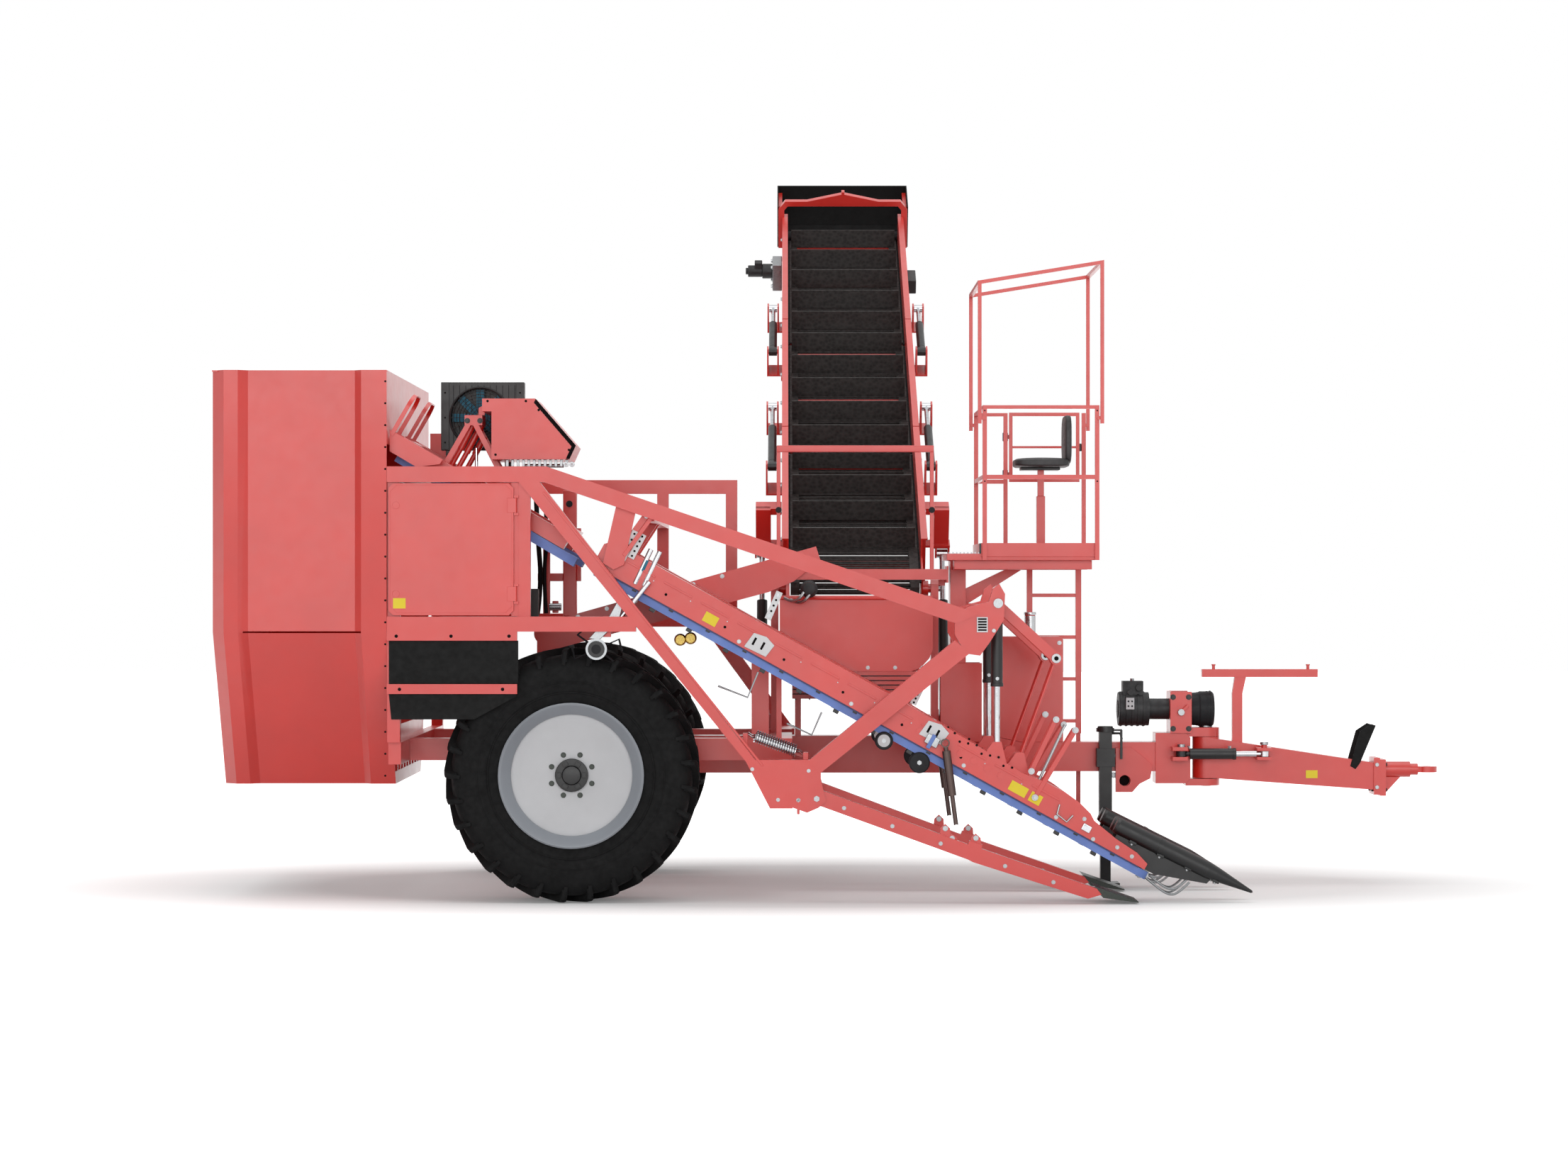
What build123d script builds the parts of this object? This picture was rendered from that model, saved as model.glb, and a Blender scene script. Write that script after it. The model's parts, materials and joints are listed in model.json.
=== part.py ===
from build123d import *
from math import atan2, cos, degrees, hypot, radians, sin
import os

os.makedirs("parts", exist_ok=True)

# ---------------------------------------------------------------------------
# Driving dimensions, in millimetres, measured from the middle of the axle on
# the ground: x forwards, y to the left, z up.
# ---------------------------------------------------------------------------
front_reach = 5687            # axle to the tip of the drawbar's tongue
rear_reach = 2231             # axle to the back of the leaf chute
right_reach = 1500            # middle to the outside of the right side frame
wheel_radius = 795
tyre_width = 530
wheel_mid = 1185              # middle of the machine to the middle of a tyre
rim_radius = 452
lug_height = 38
row_mids = (-1230, -280)      # the two crop rows that are lifted at once
row_pitch = row_mids[1] - row_mids[0]
lift_slope = 28.9             # fall of the lifting channels towards the front
elevator_slope = 27.7         # rise of the discharge elevator to the left
elevator_mid = 1797           # x of the middle of the elevator
elevator_foot = (0, 1999)     # y and z where the elevator's web starts
elevator_lengths = (1985, 1890, 2100)   # lower, middle and top section
hood_length = 420
hood_low = -60                # how far the hood reaches below the web
sheet = 8                     # folded sheet steel
pin_fit = 0.05                # radial play of a running pin
pin_radius = 20               # cylinders and links

rise = radians(elevator_slope)
elevator_run = sum(elevator_lengths) + hood_length
left_reach = elevator_foot[0] + elevator_run * cos(rise) - hood_low * sin(rise)
axle_x = (rear_reach - front_reach) / 2
mid_y = (right_reach - left_reach) / 2


# ---------------------------------------------------------------------------
# Places and planes
# ---------------------------------------------------------------------------
def at(x, y, z):
    """A point given from the middle of the axle, in the frame of the whole machine."""
    return Vector(axle_x + x, mid_y + y, z)


def side(y):
    """A plane seen from the right: x forwards, y up, normal to the right."""
    return Plane(origin=at(0, y, 0), x_dir=(1, 0, 0), z_dir=(0, -1, 0))


def across(x):
    """A plane seen from the front: x to the left, y up, normal forwards."""
    return Plane(origin=at(x, 0, 0), x_dir=(0, 1, 0), z_dir=(1, 0, 0))


def level(z):
    """A level plane: x forwards, y to the left."""
    return Plane(origin=at(0, 0, z))


lift_fall = radians(lift_slope)
lift_origin = (422, 1949)     # x and z of a point on the lower edge of the channels


def lifting_side(y):
    """Seen from the right, x down along the lifting channels and y square to them."""
    return Plane(
        origin=at(lift_origin[0], y, lift_origin[1]),
        x_dir=(cos(lift_fall), 0, -sin(lift_fall)),
        z_dir=(0, -1, 0),
    )


def lifting_level(n, y):
    """Seen square to the lifting channels, x down along them and y to the left."""
    return Plane(
        origin=lifting_point(0, y, n),
        x_dir=(cos(lift_fall), 0, -sin(lift_fall)),
        z_dir=(sin(lift_fall), 0, cos(lift_fall)),
    )


def lifting_point(u, y, n):
    """The point u down along the channels and n above their lower edge."""
    return at(
        lift_origin[0] + u * cos(lift_fall) + n * sin(lift_fall),
        y,
        lift_origin[1] - u * sin(lift_fall) + n * cos(lift_fall),
    )


def elevator_side(x):
    """Seen from the front, x up along the elevator and y square to its web."""
    return Plane(
        origin=at(x, *elevator_foot), x_dir=(0, cos(rise), sin(rise)), z_dir=(1, 0, 0)
    )


def elevator_level(n):
    """Seen square to the web, x forwards and y up along the elevator."""
    origin = at(elevator_mid, *elevator_foot) + Vector(0, -sin(rise), cos(rise)) * n
    return Plane(origin=origin, x_dir=(1, 0, 0), z_dir=(0, -sin(rise), cos(rise)))


def elevator_point(x, v, n):
    """The point v up along the elevator, n above its web, x from the elevator's middle."""
    foot = at(elevator_mid + x, *elevator_foot)
    return foot + Vector(0, cos(rise), sin(rise)) * v + Vector(0, -sin(rise), cos(rise)) * n


# ---------------------------------------------------------------------------
# Shapes used by many pieces; each adds to the BuildPart it is called in
# ---------------------------------------------------------------------------
def slab(points, plane, thickness, mode=Mode.ADD):
    """A flat plate: its outline on a plane, its thickness along the plane's normal."""
    with BuildSketch(plane) as outline:
        Polygon(*points, align=None)
    extrude(outline.sketch, amount=thickness, mode=mode)


def block(x, y, z, mode=Mode.ADD):
    """A box given by its low and high x, y and z."""
    low, high = at(x[0], y[0], z[0]), at(x[1], y[1], z[1])
    with Locations((low + high) / 2):
        Box(*(high - low), mode=mode)


def bar(start, end, width, depth, mode=Mode.ADD):
    """A rectangular bar between two points, width to the left and depth square to it."""
    reach = end - start
    level_dir = Vector(0, 1, 0) if abs(reach.normalized().Y) < 0.99 else Vector(1, 0, 0)
    with BuildSketch(Plane(origin=start, x_dir=level_dir, z_dir=reach)) as section:
        Rectangle(width, depth)
    extrude(section.sketch, amount=reach.length, mode=mode)


def rod(start, end, radius, mode=Mode.ADD):
    """A round bar between two points."""
    reach = end - start
    with BuildSketch(Plane(origin=start, z_dir=reach)) as section:
        Circle(radius)
    extrude(section.sketch, amount=reach.length, mode=mode)


def pipe(start, end, radius, wall):
    """A round tube between two points."""
    reach = end - start
    with BuildSketch(Plane(origin=start, z_dir=reach)) as section:
        Circle(radius)
        Circle(radius - wall, mode=Mode.SUBTRACT)
    extrude(section.sketch, amount=reach.length)


def save(piece, name):
    """Label a finished piece and write it."""
    piece.part.label = name
    export_step(piece.part, f"parts/{name}.step")


# ---------------------------------------------------------------------------
# Wheels and axle
# ---------------------------------------------------------------------------
lugs_a_side = 17
hub_radius = 105
spindle_radius = 60
axle_height = wheel_radius
hub_inner = wheel_mid - 60      # how far from the middle the hub barrel starts
tread_radius = wheel_radius - lug_height

# Half of the tyre's section as (distance from its middle, radius)
tyre_half_section = ((0, tread_radius), (170, tread_radius - 6), (236, tread_radius - 40),
                     (258, 640), (254, 540), (224.7, 455), (224.7, 432), (200, 432),
                     (222, 545), (224, 640), (205, 690), (0, 715))


def wheel_plane():
    """Seen from the front at the right wheel: x outwards to the right, y up."""
    return Plane(origin=at(0, -wheel_mid, axle_height), x_dir=(0, -1, 0), z_dir=(-1, 0, 0))


wheel_axis = Axis(at(0, -wheel_mid, axle_height), (0, 1, 0))
middle_plane = Plane(origin=at(0, 0, 0), x_dir=(1, 0, 0), z_dir=(0, 1, 0))

with BuildPart() as tyre_right:
    outline = [*tyre_half_section, *[(-o, r) for o, r in reversed(tyre_half_section)][1:-1]]
    with BuildSketch(wheel_plane()) as section:
        Polygon(*outline, align=None)
    revolve(axis=wheel_axis)
    for hand in (1, -1):
        lug_planes = []
        for index in range(lugs_a_side):
            turn = radians((index + (0.5 if hand > 0 else 0)) * 360 / lugs_a_side)
            out = Vector(sin(turn), 0, cos(turn))
            lug_planes.append(Plane(origin=at(0, -wheel_mid, axle_height) + out * wheel_radius,
                                    x_dir=(0, -1, 0), z_dir=out))
        # each lug runs from the middle of the tread back to the shoulder, at about 45 degrees
        with BuildSketch(*lug_planes):
            Polygon((-14 * hand, 34), (-14 * hand, -30), (248 * hand, -188), (262 * hand, -188),
                    (262 * hand, -128), align=None)
        extrude(amount=-(lug_height + 62))
    rod(at(0, -wheel_mid - tyre_width / 2, axle_height),
        at(0, -wheel_mid + tyre_width / 2, axle_height), wheel_radius, Mode.INTERSECT)
save(tyre_right, "tyre_right")

with BuildPart() as tyre_left:
    mirror(tyre_right.part, about=middle_plane)
save(tyre_left, "tyre_left")

with BuildPart() as rim_right:
    with BuildSketch(wheel_plane()) as section:
        # barrel with its two flanges and the dished disc, as (outwards, radius)
        Polygon((-235, rim_radius), (-225, rim_radius), (-225, 431.7), (225, 431.7),
                (225, rim_radius), (238, rim_radius), (238, 436), (190, 396), (165, 388),
                (150, 200), (165, 130), (165, 0), (120, 0), (120, spindle_radius + pin_fit),
                (-60, spindle_radius + pin_fit), (-60, 120), (60, 120), (128, 150),
                (136, 390), (165, 416), (-235, 416), align=None)
    revolve(axis=wheel_axis)
    # centre cap and the eight holes of the wheel disc
    with BuildSketch(Plane(origin=at(0, -wheel_mid - 165, axle_height), z_dir=(0, -1, 0))):
        Circle(hub_radius)
    extrude(amount=30, taper=8)
    with BuildSketch(Plane(origin=at(0, -wheel_mid - 165, axle_height), z_dir=(0, -1, 0))):
        with PolarLocations(135.5, 8):
            Circle(11)
    extrude(amount=-60, mode=Mode.SUBTRACT)
save(rim_right, "rim_right")

with BuildPart() as rim_left:
    mirror(rim_right.part, about=middle_plane)
save(rim_left, "rim_left")

axle_half = 70

# ---------------------------------------------------------------------------
# Main frame
# ---------------------------------------------------------------------------
spine_y = (150, 350)            # the long beam that carries the drawbar
spine_z = (736, 982)
nose_z = (746, 939)
member_z = (axle_height + axle_half, axle_height + axle_half + 140)
member_y = 780                  # side members, left and right of the middle
rear_beam = (-1139, -1060)
share_beam_x = (1240, 1380)
share_beam_z = (596, spine_z[0])
share_pivot = (1530, 656)       # x and z of the share arms' hinge
share_bracket = ((1370, 605), (1370, 690), (1440, 780), (1500, 790), (1550, 790), (1590, 640),
                 (1540, 600), (1470, 570))
steer_x = 4144
steer_pin = 38
spine_mid = sum(spine_y) / 2
steer_cylinder_y = 60
head_z = (1001, 666)
shaft_z = 1158                # the drive shaft's end above the head

with BuildPart() as main_frame:
    # axle with its two spindles
    block((-axle_half, axle_half), (-hub_inner + 20, hub_inner - 20),
          (axle_height - axle_half, axle_height + axle_half))
    for hand in (-1, 1):
        rod(at(0, hand * (hub_inner - 20), axle_height),
            at(0, hand * (wheel_mid + 110), axle_height), spindle_radius)
    block((axle_half, 2700), spine_y, spine_z)
    slab(((2700, spine_z[0]), (2700, spine_z[1]), (2900, nose_z[1]), (3798, nose_z[1]),
          (3798, nose_z[0]), (2900, nose_z[0])), side(spine_y[1]), spine_y[1] - spine_y[0])
    for hand in (-1, 1):
        block((rear_beam[0], share_beam_x[1]),
              sorted((hand * (member_y - 60), hand * (member_y + 60))), member_z)
        block(share_beam_x, sorted((hand * (member_y - 60), hand * (member_y + 60))),
              (share_beam_z[1], member_z[0]))
    block(rear_beam, (-1410, 1410), member_z)
    block(share_beam_x, (-1410, 900), share_beam_z)
    block((share_beam_x[0], share_beam_x[1]), (-720, spine_y[0]), member_z)
    # bracket and pivot of the far share arm
    slab(share_bracket, side(-1494 + row_pitch), 6)
    slab(((1380, 596), (1380, 736), (1500, 770), (1556, 770), (1590, 640), (1470, 570)),
         side(-1396 + row_pitch), 10)
    block((1380, 1400), (-1500 + row_pitch, -1396 + row_pitch), (596, 736))
    rod(at(share_pivot[0], -1500 + row_pitch, share_pivot[1]),
        at(share_pivot[0], -1396 + row_pitch, share_pivot[1]), 26 - pin_fit)
    # posts that carry the cleaning conveyor
    for low, high in ((1120, 1230), (1278, 1312)):
        block((low, high), (-840, -800), (member_z[1], 1510))
    # head block with the two lugs of the steering pin
    slab(((3798, head_z[1]), (3798, head_z[0]), (4000, head_z[0]), (4030, 970), (4030, 700),
          (4000, head_z[1])), side(spine_y[1] + 10), spine_y[1] - spine_y[0] + 20)
    for low, high in ((976, 1036), (650, 695)):
        with BuildSketch(level(low)) as lug:
            Polygon((4000, spine_y[0] + 10), (steer_x, spine_y[0] + 10), (steer_x, spine_y[1] - 10),
                    (4000, spine_y[1] - 10), align=None)
            with Locations((steer_x, sum(spine_y) / 2)):
                Circle(90)
        extrude(lug.sketch, amount=high - low)
    rod(at(steer_x, spine_mid, 645), at(steer_x, spine_mid, 1038), steer_pin - pin_fit)
    # plate on the right of the nose with its tow eye
    slab(((3530, 902), (3640, 902), (3775, 790), (3760, 700), (3690, 665), (3640, 609),
          (3530, 609)), side(spine_y[0]), 40)
    rod(at(3591, spine_y[0] - 60, 685), at(3591, spine_y[0] + 20, 685), 37, Mode.SUBTRACT)
    # bracket of the steering cylinder
    for low, high in ((886, 911), (821, 846)):
        block((3900, 4000), (steer_cylinder_y - 40, spine_y[0] - 10), (low, high))
    rod(at(3960, steer_cylinder_y, 821), at(3960, steer_cylinder_y, 911), pin_radius)
    # bracket of the pump drive
    block((3894, 3906), (spine_y[0] - 32, spine_y[1] + 32), (head_z[0], 1276))
    block((3894, 4036), (spine_y[0] - 32, spine_y[1] + 32), (head_z[0], head_z[0] + 10))
    for low in (spine_y[0] - 32, spine_y[1] + 20):
        block((3894, 4036), (low, low + 12), (head_z[0], 1276))
save(main_frame, "main_frame")

# ---------------------------------------------------------------------------
# Right side frame, leaf chute, door and skirts
# ---------------------------------------------------------------------------
truss_y = (-right_reach, -1410)
truss_width = truss_y[1] - truss_y[0]
top_beam_z = (2623, 2720)
low_beam_z = (1694, 1787)
truss_back = -1139
slope_start = -150              # where the top beam turns down to the front
gusset_pin = (2657, 1870)       # x and z of the lift cylinders' upper pins
cross_pipe = (2560, 1804)       # x and z of the tube that joins the front gussets
lift_pivot = (265, 2150)        # x and z of the lifting channels' hinge

door_x = (-1130, -352)
door_z = (1795, 2615)
door_hinge = (-341, -1491)
door_hinge_z = (1928, 2478)

front_gusset = ((2388, 1765), (2388, 1677), (2454, 1558), (2545, 1545), (2600, 1620),
                (2692, 1765), (2700, 1928), (2665, 1990), (2625, 1960), (2600, 1880),
                (2470, 1846))

with BuildPart() as truss_right:
    slab(((truss_back, top_beam_z[0]), (truss_back, top_beam_z[1]), (slope_start, top_beam_z[1]),
          (2542, 1804), (2400, 1744), (slope_start - 15, top_beam_z[0])),
         side(truss_y[1]), truss_width)
    slab(front_gusset, side(truss_y[1] + 10), truss_width)
    block((truss_back, 407), truss_y, low_beam_z)
    # long brace down past the tyre, and the brace back up to the front gusset
    slab(((-320, top_beam_z[0]), (-190, top_beam_z[0]), (1151, 893), (1085, 893)),
         side(truss_y[1]), truss_width)
    slab(((1486, 897), (2388, 1640), (2480, 1560), (1556, 818)), side(truss_y[1]), truss_width)
    slab(((1085, 897), (1486, 897), (1556, 818), (1556, 770), (1440, 770), (1380, 700),
          (1380, 596), (1240, 596)), side(truss_y[1]), truss_width)
    # posts behind the door and the skirts
    block((truss_back, truss_back + 79), (-1472, -1410), (member_z[1], top_beam_z[0]))
    block((-330, -250), (-1472, -1410), (low_beam_z[1], top_beam_z[0]))
    block((-420, -350), (-1472, -1460), (1307, low_beam_z[0]))
    for low, high in ((1638, low_beam_z[0]), (1307, 1368)):
        block((truss_back, -330), (-right_reach, -1472), (low, high))
    # brackets and pins of the door's hinges
    for z in door_hinge_z:
        for low, high in ((z - 62, z - 47), (z + 47, z + 62)):
            block((-350, -322), (4 - right_reach, -1466), (low, high))
        rod(at(*door_hinge, z - 62), at(*door_hinge, z + 62), 5 - pin_fit)
    # hanger of the lifting channels' hinge
    slab(((300, 2555), (420, 2514), (330, 2110), (265, 2080), (200, 2120)), side(-1410), 30)
    # bracket and pivot of the near share arm, which runs just inside the frame's face
    slab(share_bracket, side(-1494), 6)
    rod(at(share_pivot[0], -1500, share_pivot[1]), at(share_pivot[0], -1410, share_pivot[1]),
        26 - pin_fit)
    # front gusset of the far row, the tube that joins the gussets, and the lift cylinders' pins
    inner_face = truss_y[1] + 10
    slab(front_gusset, side(inner_face + row_pitch), 60)
    rod(at(cross_pipe[0], inner_face, cross_pipe[1]), at(cross_pipe[0], 100, cross_pipe[1]), 60)
    for y in (inner_face, inner_face + row_pitch):
        rod(at(gusset_pin[0], y - 10, gusset_pin[1]), at(gusset_pin[0], y + 300, gusset_pin[1]),
            pin_radius)
save(truss_right, "truss_right")

chute_top = 3319
chute_bend = 1690
chute_foot = 721
chute_lean = 550
chute_far = 1215
chute_section = (
    (-rear_reach, -1420), (-2152, -right_reach), (-2064, -right_reach), (-2007, -1455),
    (-1342, -1455), (-1298, -right_reach), (truss_back - 1, -right_reach))


def folded_wall(points, thickness):
    """Outline of a folded sheet seen from above: the given fold line and its inner side."""
    return [*points, *[(x, y + thickness) for x, y in reversed(points)]]


with BuildPart() as leaf_chute:
    near_wall = folded_wall(chute_section, sheet)
    far_wall = ((-rear_reach, chute_far - sheet), (-rear_reach, chute_far),
                (truss_back - 1, chute_far), (truss_back - 1, chute_far - sheet))
    for wall, lean in ((near_wall, chute_lean), (far_wall, -chute_lean)):
        slab(wall, level(chute_bend), chute_top - chute_bend)
        with BuildSketch(level(chute_bend)) as fold:
            Polygon(*wall, align=None)
        drop = chute_bend - chute_foot
        extrude(fold.sketch, amount=hypot(lean, drop), dir=Vector(0, lean, -drop).normalized())
    # back wall, roof and the open front's frame
    shell = ((-1420, chute_top), (-1420, chute_bend), (-1420 + chute_lean, chute_foot),
             (chute_far - chute_lean, chute_foot), (chute_far, chute_bend), (chute_far, chute_top))
    slab(shell, across(-rear_reach), sheet)
    block((-rear_reach, truss_back - 1), (-1455, chute_far), (chute_top - sheet, chute_top))
    # front wall: slats low down, open above for the leaves
    front = truss_back - 1 - sheet
    for low, high in ((chute_foot, 800), (1000, 1090), (chute_bend - 40, chute_bend + 40),
                      (2860, chute_top - sheet)):
        lean_low = max(0, (chute_bend - low)) / drop * chute_lean
        lean_high = max(0, (chute_bend - high)) / drop * chute_lean
        slab(((-1490 + lean_low, low), (chute_far - 4 - lean_low, low),
              (chute_far - 4 - lean_high, high), (-1490 + lean_high, high)), across(front), sheet)
    for index in range(9):
        middle = -820 + index * 170
        block((front, front + sheet), (middle - 20, middle + 20), (chute_foot + 20, 1040))
    # slit along the bend and the gap beside the front post
    block((-2037, -1300), (-right_reach - 5, -1440), (chute_bend - 6, chute_bend + 6),
          Mode.SUBTRACT)
save(leaf_chute, "leaf_chute")

with BuildPart() as side_door:
    with BuildSketch(side(-1478)) as panel:
        with BuildLine():
            Polyline((door_x[0] + 30, door_z[0]), (door_x[1] - 30, door_z[0]),
                     (door_x[1], door_z[0] + 30), (door_x[1], door_z[1] - 30),
                     (door_x[1] - 30, door_z[1]), (door_x[0] + 30, door_z[1]),
                     (door_x[0], door_z[1] - 30), (door_x[0], door_z[0] + 30), close=True)
        make_face()
    extrude(amount=20)
    for z in door_hinge_z:
        block((door_x[1] - 40, door_hinge[0]), (-1500, -1488), (z - 45, z + 45))
        rod(at(*door_hinge, z - 45), at(*door_hinge, z + 45), 9)
        rod(at(*door_hinge, z - 46), at(*door_hinge, z + 46), 5, Mode.SUBTRACT)
        rod(at(-1082, -1498, z), at(-1082, -1500, z), 22)
save(side_door, "side_door")

with BuildPart() as skirt_panels:
    slab(((-1128, 1368), (-1128, 1638), (-324, 1638), (-324, 1368)), side(-1472), 10)
    slab(((-1113, 1148), (-1128, 1307), (-338, 1307), (-338, 1290), (-597, 1148)),
         side(-1472), 10)
save(skirt_panels, "skirt_panels")

# ---------------------------------------------------------------------------
# Left side frame and the cross beams inside
# ---------------------------------------------------------------------------
with BuildPart() as frame_left:
    block((truss_back, 1000), (1410, 1490), top_beam_z)
    block((truss_back, 1000), (1410, 1490), low_beam_z)
    block((truss_back, truss_back + 79), (1410, 1490), (member_z[0], top_beam_z[0]))
    block((920, 1000), (1410, 1490), (low_beam_z[1], top_beam_z[0]))
    slab(((760, low_beam_z[0]), (880, low_beam_z[0]), (1380, member_z[1]), (1260, member_z[1])),
         side(1490), 80)
    block((1240, 1400), (840, 1490), (member_z[0], member_z[1]))
    # cross beams to the right side frame
    block((truss_back, truss_back + 79), (-1410, 1410), top_beam_z)
    block((440, 520), (-1410, 1410), (2380, 2460))
    block((920, 1000), (840, 1410), low_beam_z)
    block((440, 520), (1410, 1490), (low_beam_z[1], top_beam_z[0]))
    # hangers of the far channel's hinge
    for y in (-470, -90):
        slab(((440, 2400), (520, 2400), (330, 2110), (265, 2080), (200, 2120), (210, 2200)),
             side(y + 15), 30)
    rod(at(lift_pivot[0], truss_y[1], lift_pivot[1]), at(lift_pivot[0], -75, lift_pivot[1]), 30)
save(frame_left, "frame_left")

# ---------------------------------------------------------------------------
# Lifting channels with their belts
# ---------------------------------------------------------------------------
channel_half = 170
belt_width = 50
belt_gap = 5
belt_thick = 12
loop_width = 150
rear_u, front_u = -300, 3640
channel_outline = ((-330, 0), (-330, 150), (-290, 189), (1816, 189), (2649, 160), (2788, 180),
                   (2937, 184), (3047, 170), (3138, 144), (3179, 116), (3350, 83), (3510, 70),
                   (3600, 40), (3600, 0))
lift_pivot_u = ((lift_pivot[0] - lift_origin[0]) * cos(lift_fall)
                - (lift_pivot[1] - lift_origin[1]) * sin(lift_fall))
lift_pivot_n = ((lift_pivot[0] - lift_origin[0]) * sin(lift_fall)
                + (lift_pivot[1] - lift_origin[1]) * cos(lift_fall))
channel_eye = (2657, 972)       # x and z of the lift cylinders' lower pins
link_eye = (2805, 900)          # x and z of the link rods' lower pins
link_knee = (3032, 1524)

with BuildPart() as lifting_channels:
    for mid in row_mids:
        near, far = mid - channel_half, mid + channel_half
        slab(channel_outline, lifting_side(far), 2 * channel_half)
        inner = ((-340, sheet), (-340, 150), (-290, 189 - sheet), (1816, 189 - sheet),
                 (2649, 160 - sheet), (3080, 150), (3350, 70), (3560, 30), (3560, sheet))
        slab(inner, lifting_side(far - sheet), 2 * (channel_half - sheet), Mode.SUBTRACT)
        rod(at(lift_pivot[0], near - 5, lift_pivot[1]), at(lift_pivot[0], far + 5, lift_pivot[1]),
            30 + pin_fit, Mode.SUBTRACT)
        # lugs for the lift cylinder and the link rods
        for y in (mid - 155, mid - 95):
            slab(((2560, 905), (2630, 1005), (2684, 1005), (2720, 850)), side(y + 6), 12)
        for y in (mid - 60, mid + 100):
            slab(((2720, 850), (2780, 934), (2830, 934), (2870, 765)), side(y + 6), 12)
        # bracket of the share arm's depth cylinder
    # tubes that tie the two channels together
    for u, n in ((700, 110), (2000, 110)):
        rod(lifting_point(u, row_mids[0] + channel_half - sheet, n),
            lifting_point(u, row_mids[1] - channel_half + sheet, n), 45)
save(lifting_channels, "lifting_channels")

with BuildPart() as lifting_belts:
    for mid in row_mids:
        for hand in (-1, 1):
            middle = mid + hand * (loop_width / 2 + 10)
            radius = loop_width / 2
            for inset, mode in ((0, Mode.ADD), (belt_thick, Mode.SUBTRACT)):
                with BuildSketch(lifting_level(-belt_gap - belt_width, middle)) as loop:
                    with Locations(((rear_u + front_u) / 2, 0)):
                        SlotCenterToCenter(front_u - rear_u - 2 * radius, 2 * (radius - inset))
                extrude(loop.sketch, amount=belt_width, mode=mode)
save(lifting_belts, "lifting_belts")

with BuildPart() as belt_rollers:
    for mid in row_mids:
        for hand in (-1, 1):
            middle = mid + hand * (loop_width / 2 + 10)
            radius = loop_width / 2 - belt_thick - 0.3
            for index in range(14):
                u = rear_u + loop_width / 2 + index * (front_u - rear_u - loop_width) / 13
                rod(lifting_point(u, middle, -belt_gap - belt_width),
                    lifting_point(u, middle, -belt_gap), radius if index in (0, 13) else 52)
                rod(lifting_point(u, middle, -belt_gap), lifting_point(u, middle, 0), 25)
save(belt_rollers, "belt_rollers")

torpedo_start, torpedo_tip = (3400, 486), (4258, 62)
torpedo_fall = atan2(torpedo_start[1] - torpedo_tip[1], torpedo_tip[0] - torpedo_start[0])
with BuildPart() as torpedoes:
    for mid in row_mids:
        for hand in (-1, 1):
            place = Plane(origin=at(torpedo_start[0], mid + hand * 105, torpedo_start[1]),
                          x_dir=(cos(torpedo_fall), 0, -sin(torpedo_fall)), z_dir=(0, -1, 0))
            with BuildSketch(place) as section:
                Polygon((0, 0), (0, 44), (18, 52), (640, 52), (700, 46), (948, 9), (957, 0),
                        align=None)
            revolve(section.sketch, axis=Axis(place.origin, place.x_dir))
            # plate that carries the torpedo, welded to the top of the channel's nose
            slab(((3350, 84), (3510, 71), (3601, 41), (3601, 2), (3670, 2), (3990, 110),
                  (4010, 180), (3350, 150)), lifting_side(mid + hand * 105 + 6), 12)
save(torpedoes, "torpedoes")

# ---------------------------------------------------------------------------
# Cylinders: one barrel and one rod between two pins
# ---------------------------------------------------------------------------
def barrel(start, end, radius, length, eye_radius, eye_width, cross=Vector(0, 1, 0)):
    """The barrel of a cylinder, hung on the pin at start and pointing at end."""
    reach = (end - start).normalized()
    rod(start - cross * (eye_width / 2), start + cross * (eye_width / 2), eye_radius)
    neck = start + reach * (eye_radius + 20)
    rod(start, neck, eye_width / 2 - 1)
    rod(neck, start + reach * length, radius)
    rod(start - cross * eye_width, start + cross * eye_width, pin_radius + 0.3, Mode.SUBTRACT)
    # the rod runs in a blind bore
    rod(start + reach * (eye_radius + 40), start + reach * (length + 1), radius * 0.55,
        Mode.SUBTRACT)


def piston(start, end, radius, length, eye_radius, eye_width, hidden, cross=Vector(0, 1, 0)):
    """The rod of the same cylinder, from inside the barrel to the eye at end."""
    reach = (end - start).normalized()
    rod(start + reach * (length - hidden), end, radius * 0.55 - 0.3)
    rod(end - cross * (eye_width / 2), end + cross * (eye_width / 2), eye_radius)
    rod(end - cross * eye_width, end + cross * eye_width, pin_radius + 2, Mode.SUBTRACT)


lift_cylinder_y = [mid - 125 for mid in row_mids]
with BuildPart() as lift_barrels:
    for y in lift_cylinder_y:
        barrel(at(gusset_pin[0], y, gusset_pin[1]), at(channel_eye[0], y, channel_eye[1]),
               36, 520, 38, 40)
save(lift_barrels, "lift_barrels")
with BuildPart() as lift_rods:
    for y in lift_cylinder_y:
        piston(at(gusset_pin[0], y, gusset_pin[1]), at(channel_eye[0], y, channel_eye[1]),
               36, 520, 34, 40, 140)
save(lift_rods, "lift_rods")

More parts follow.
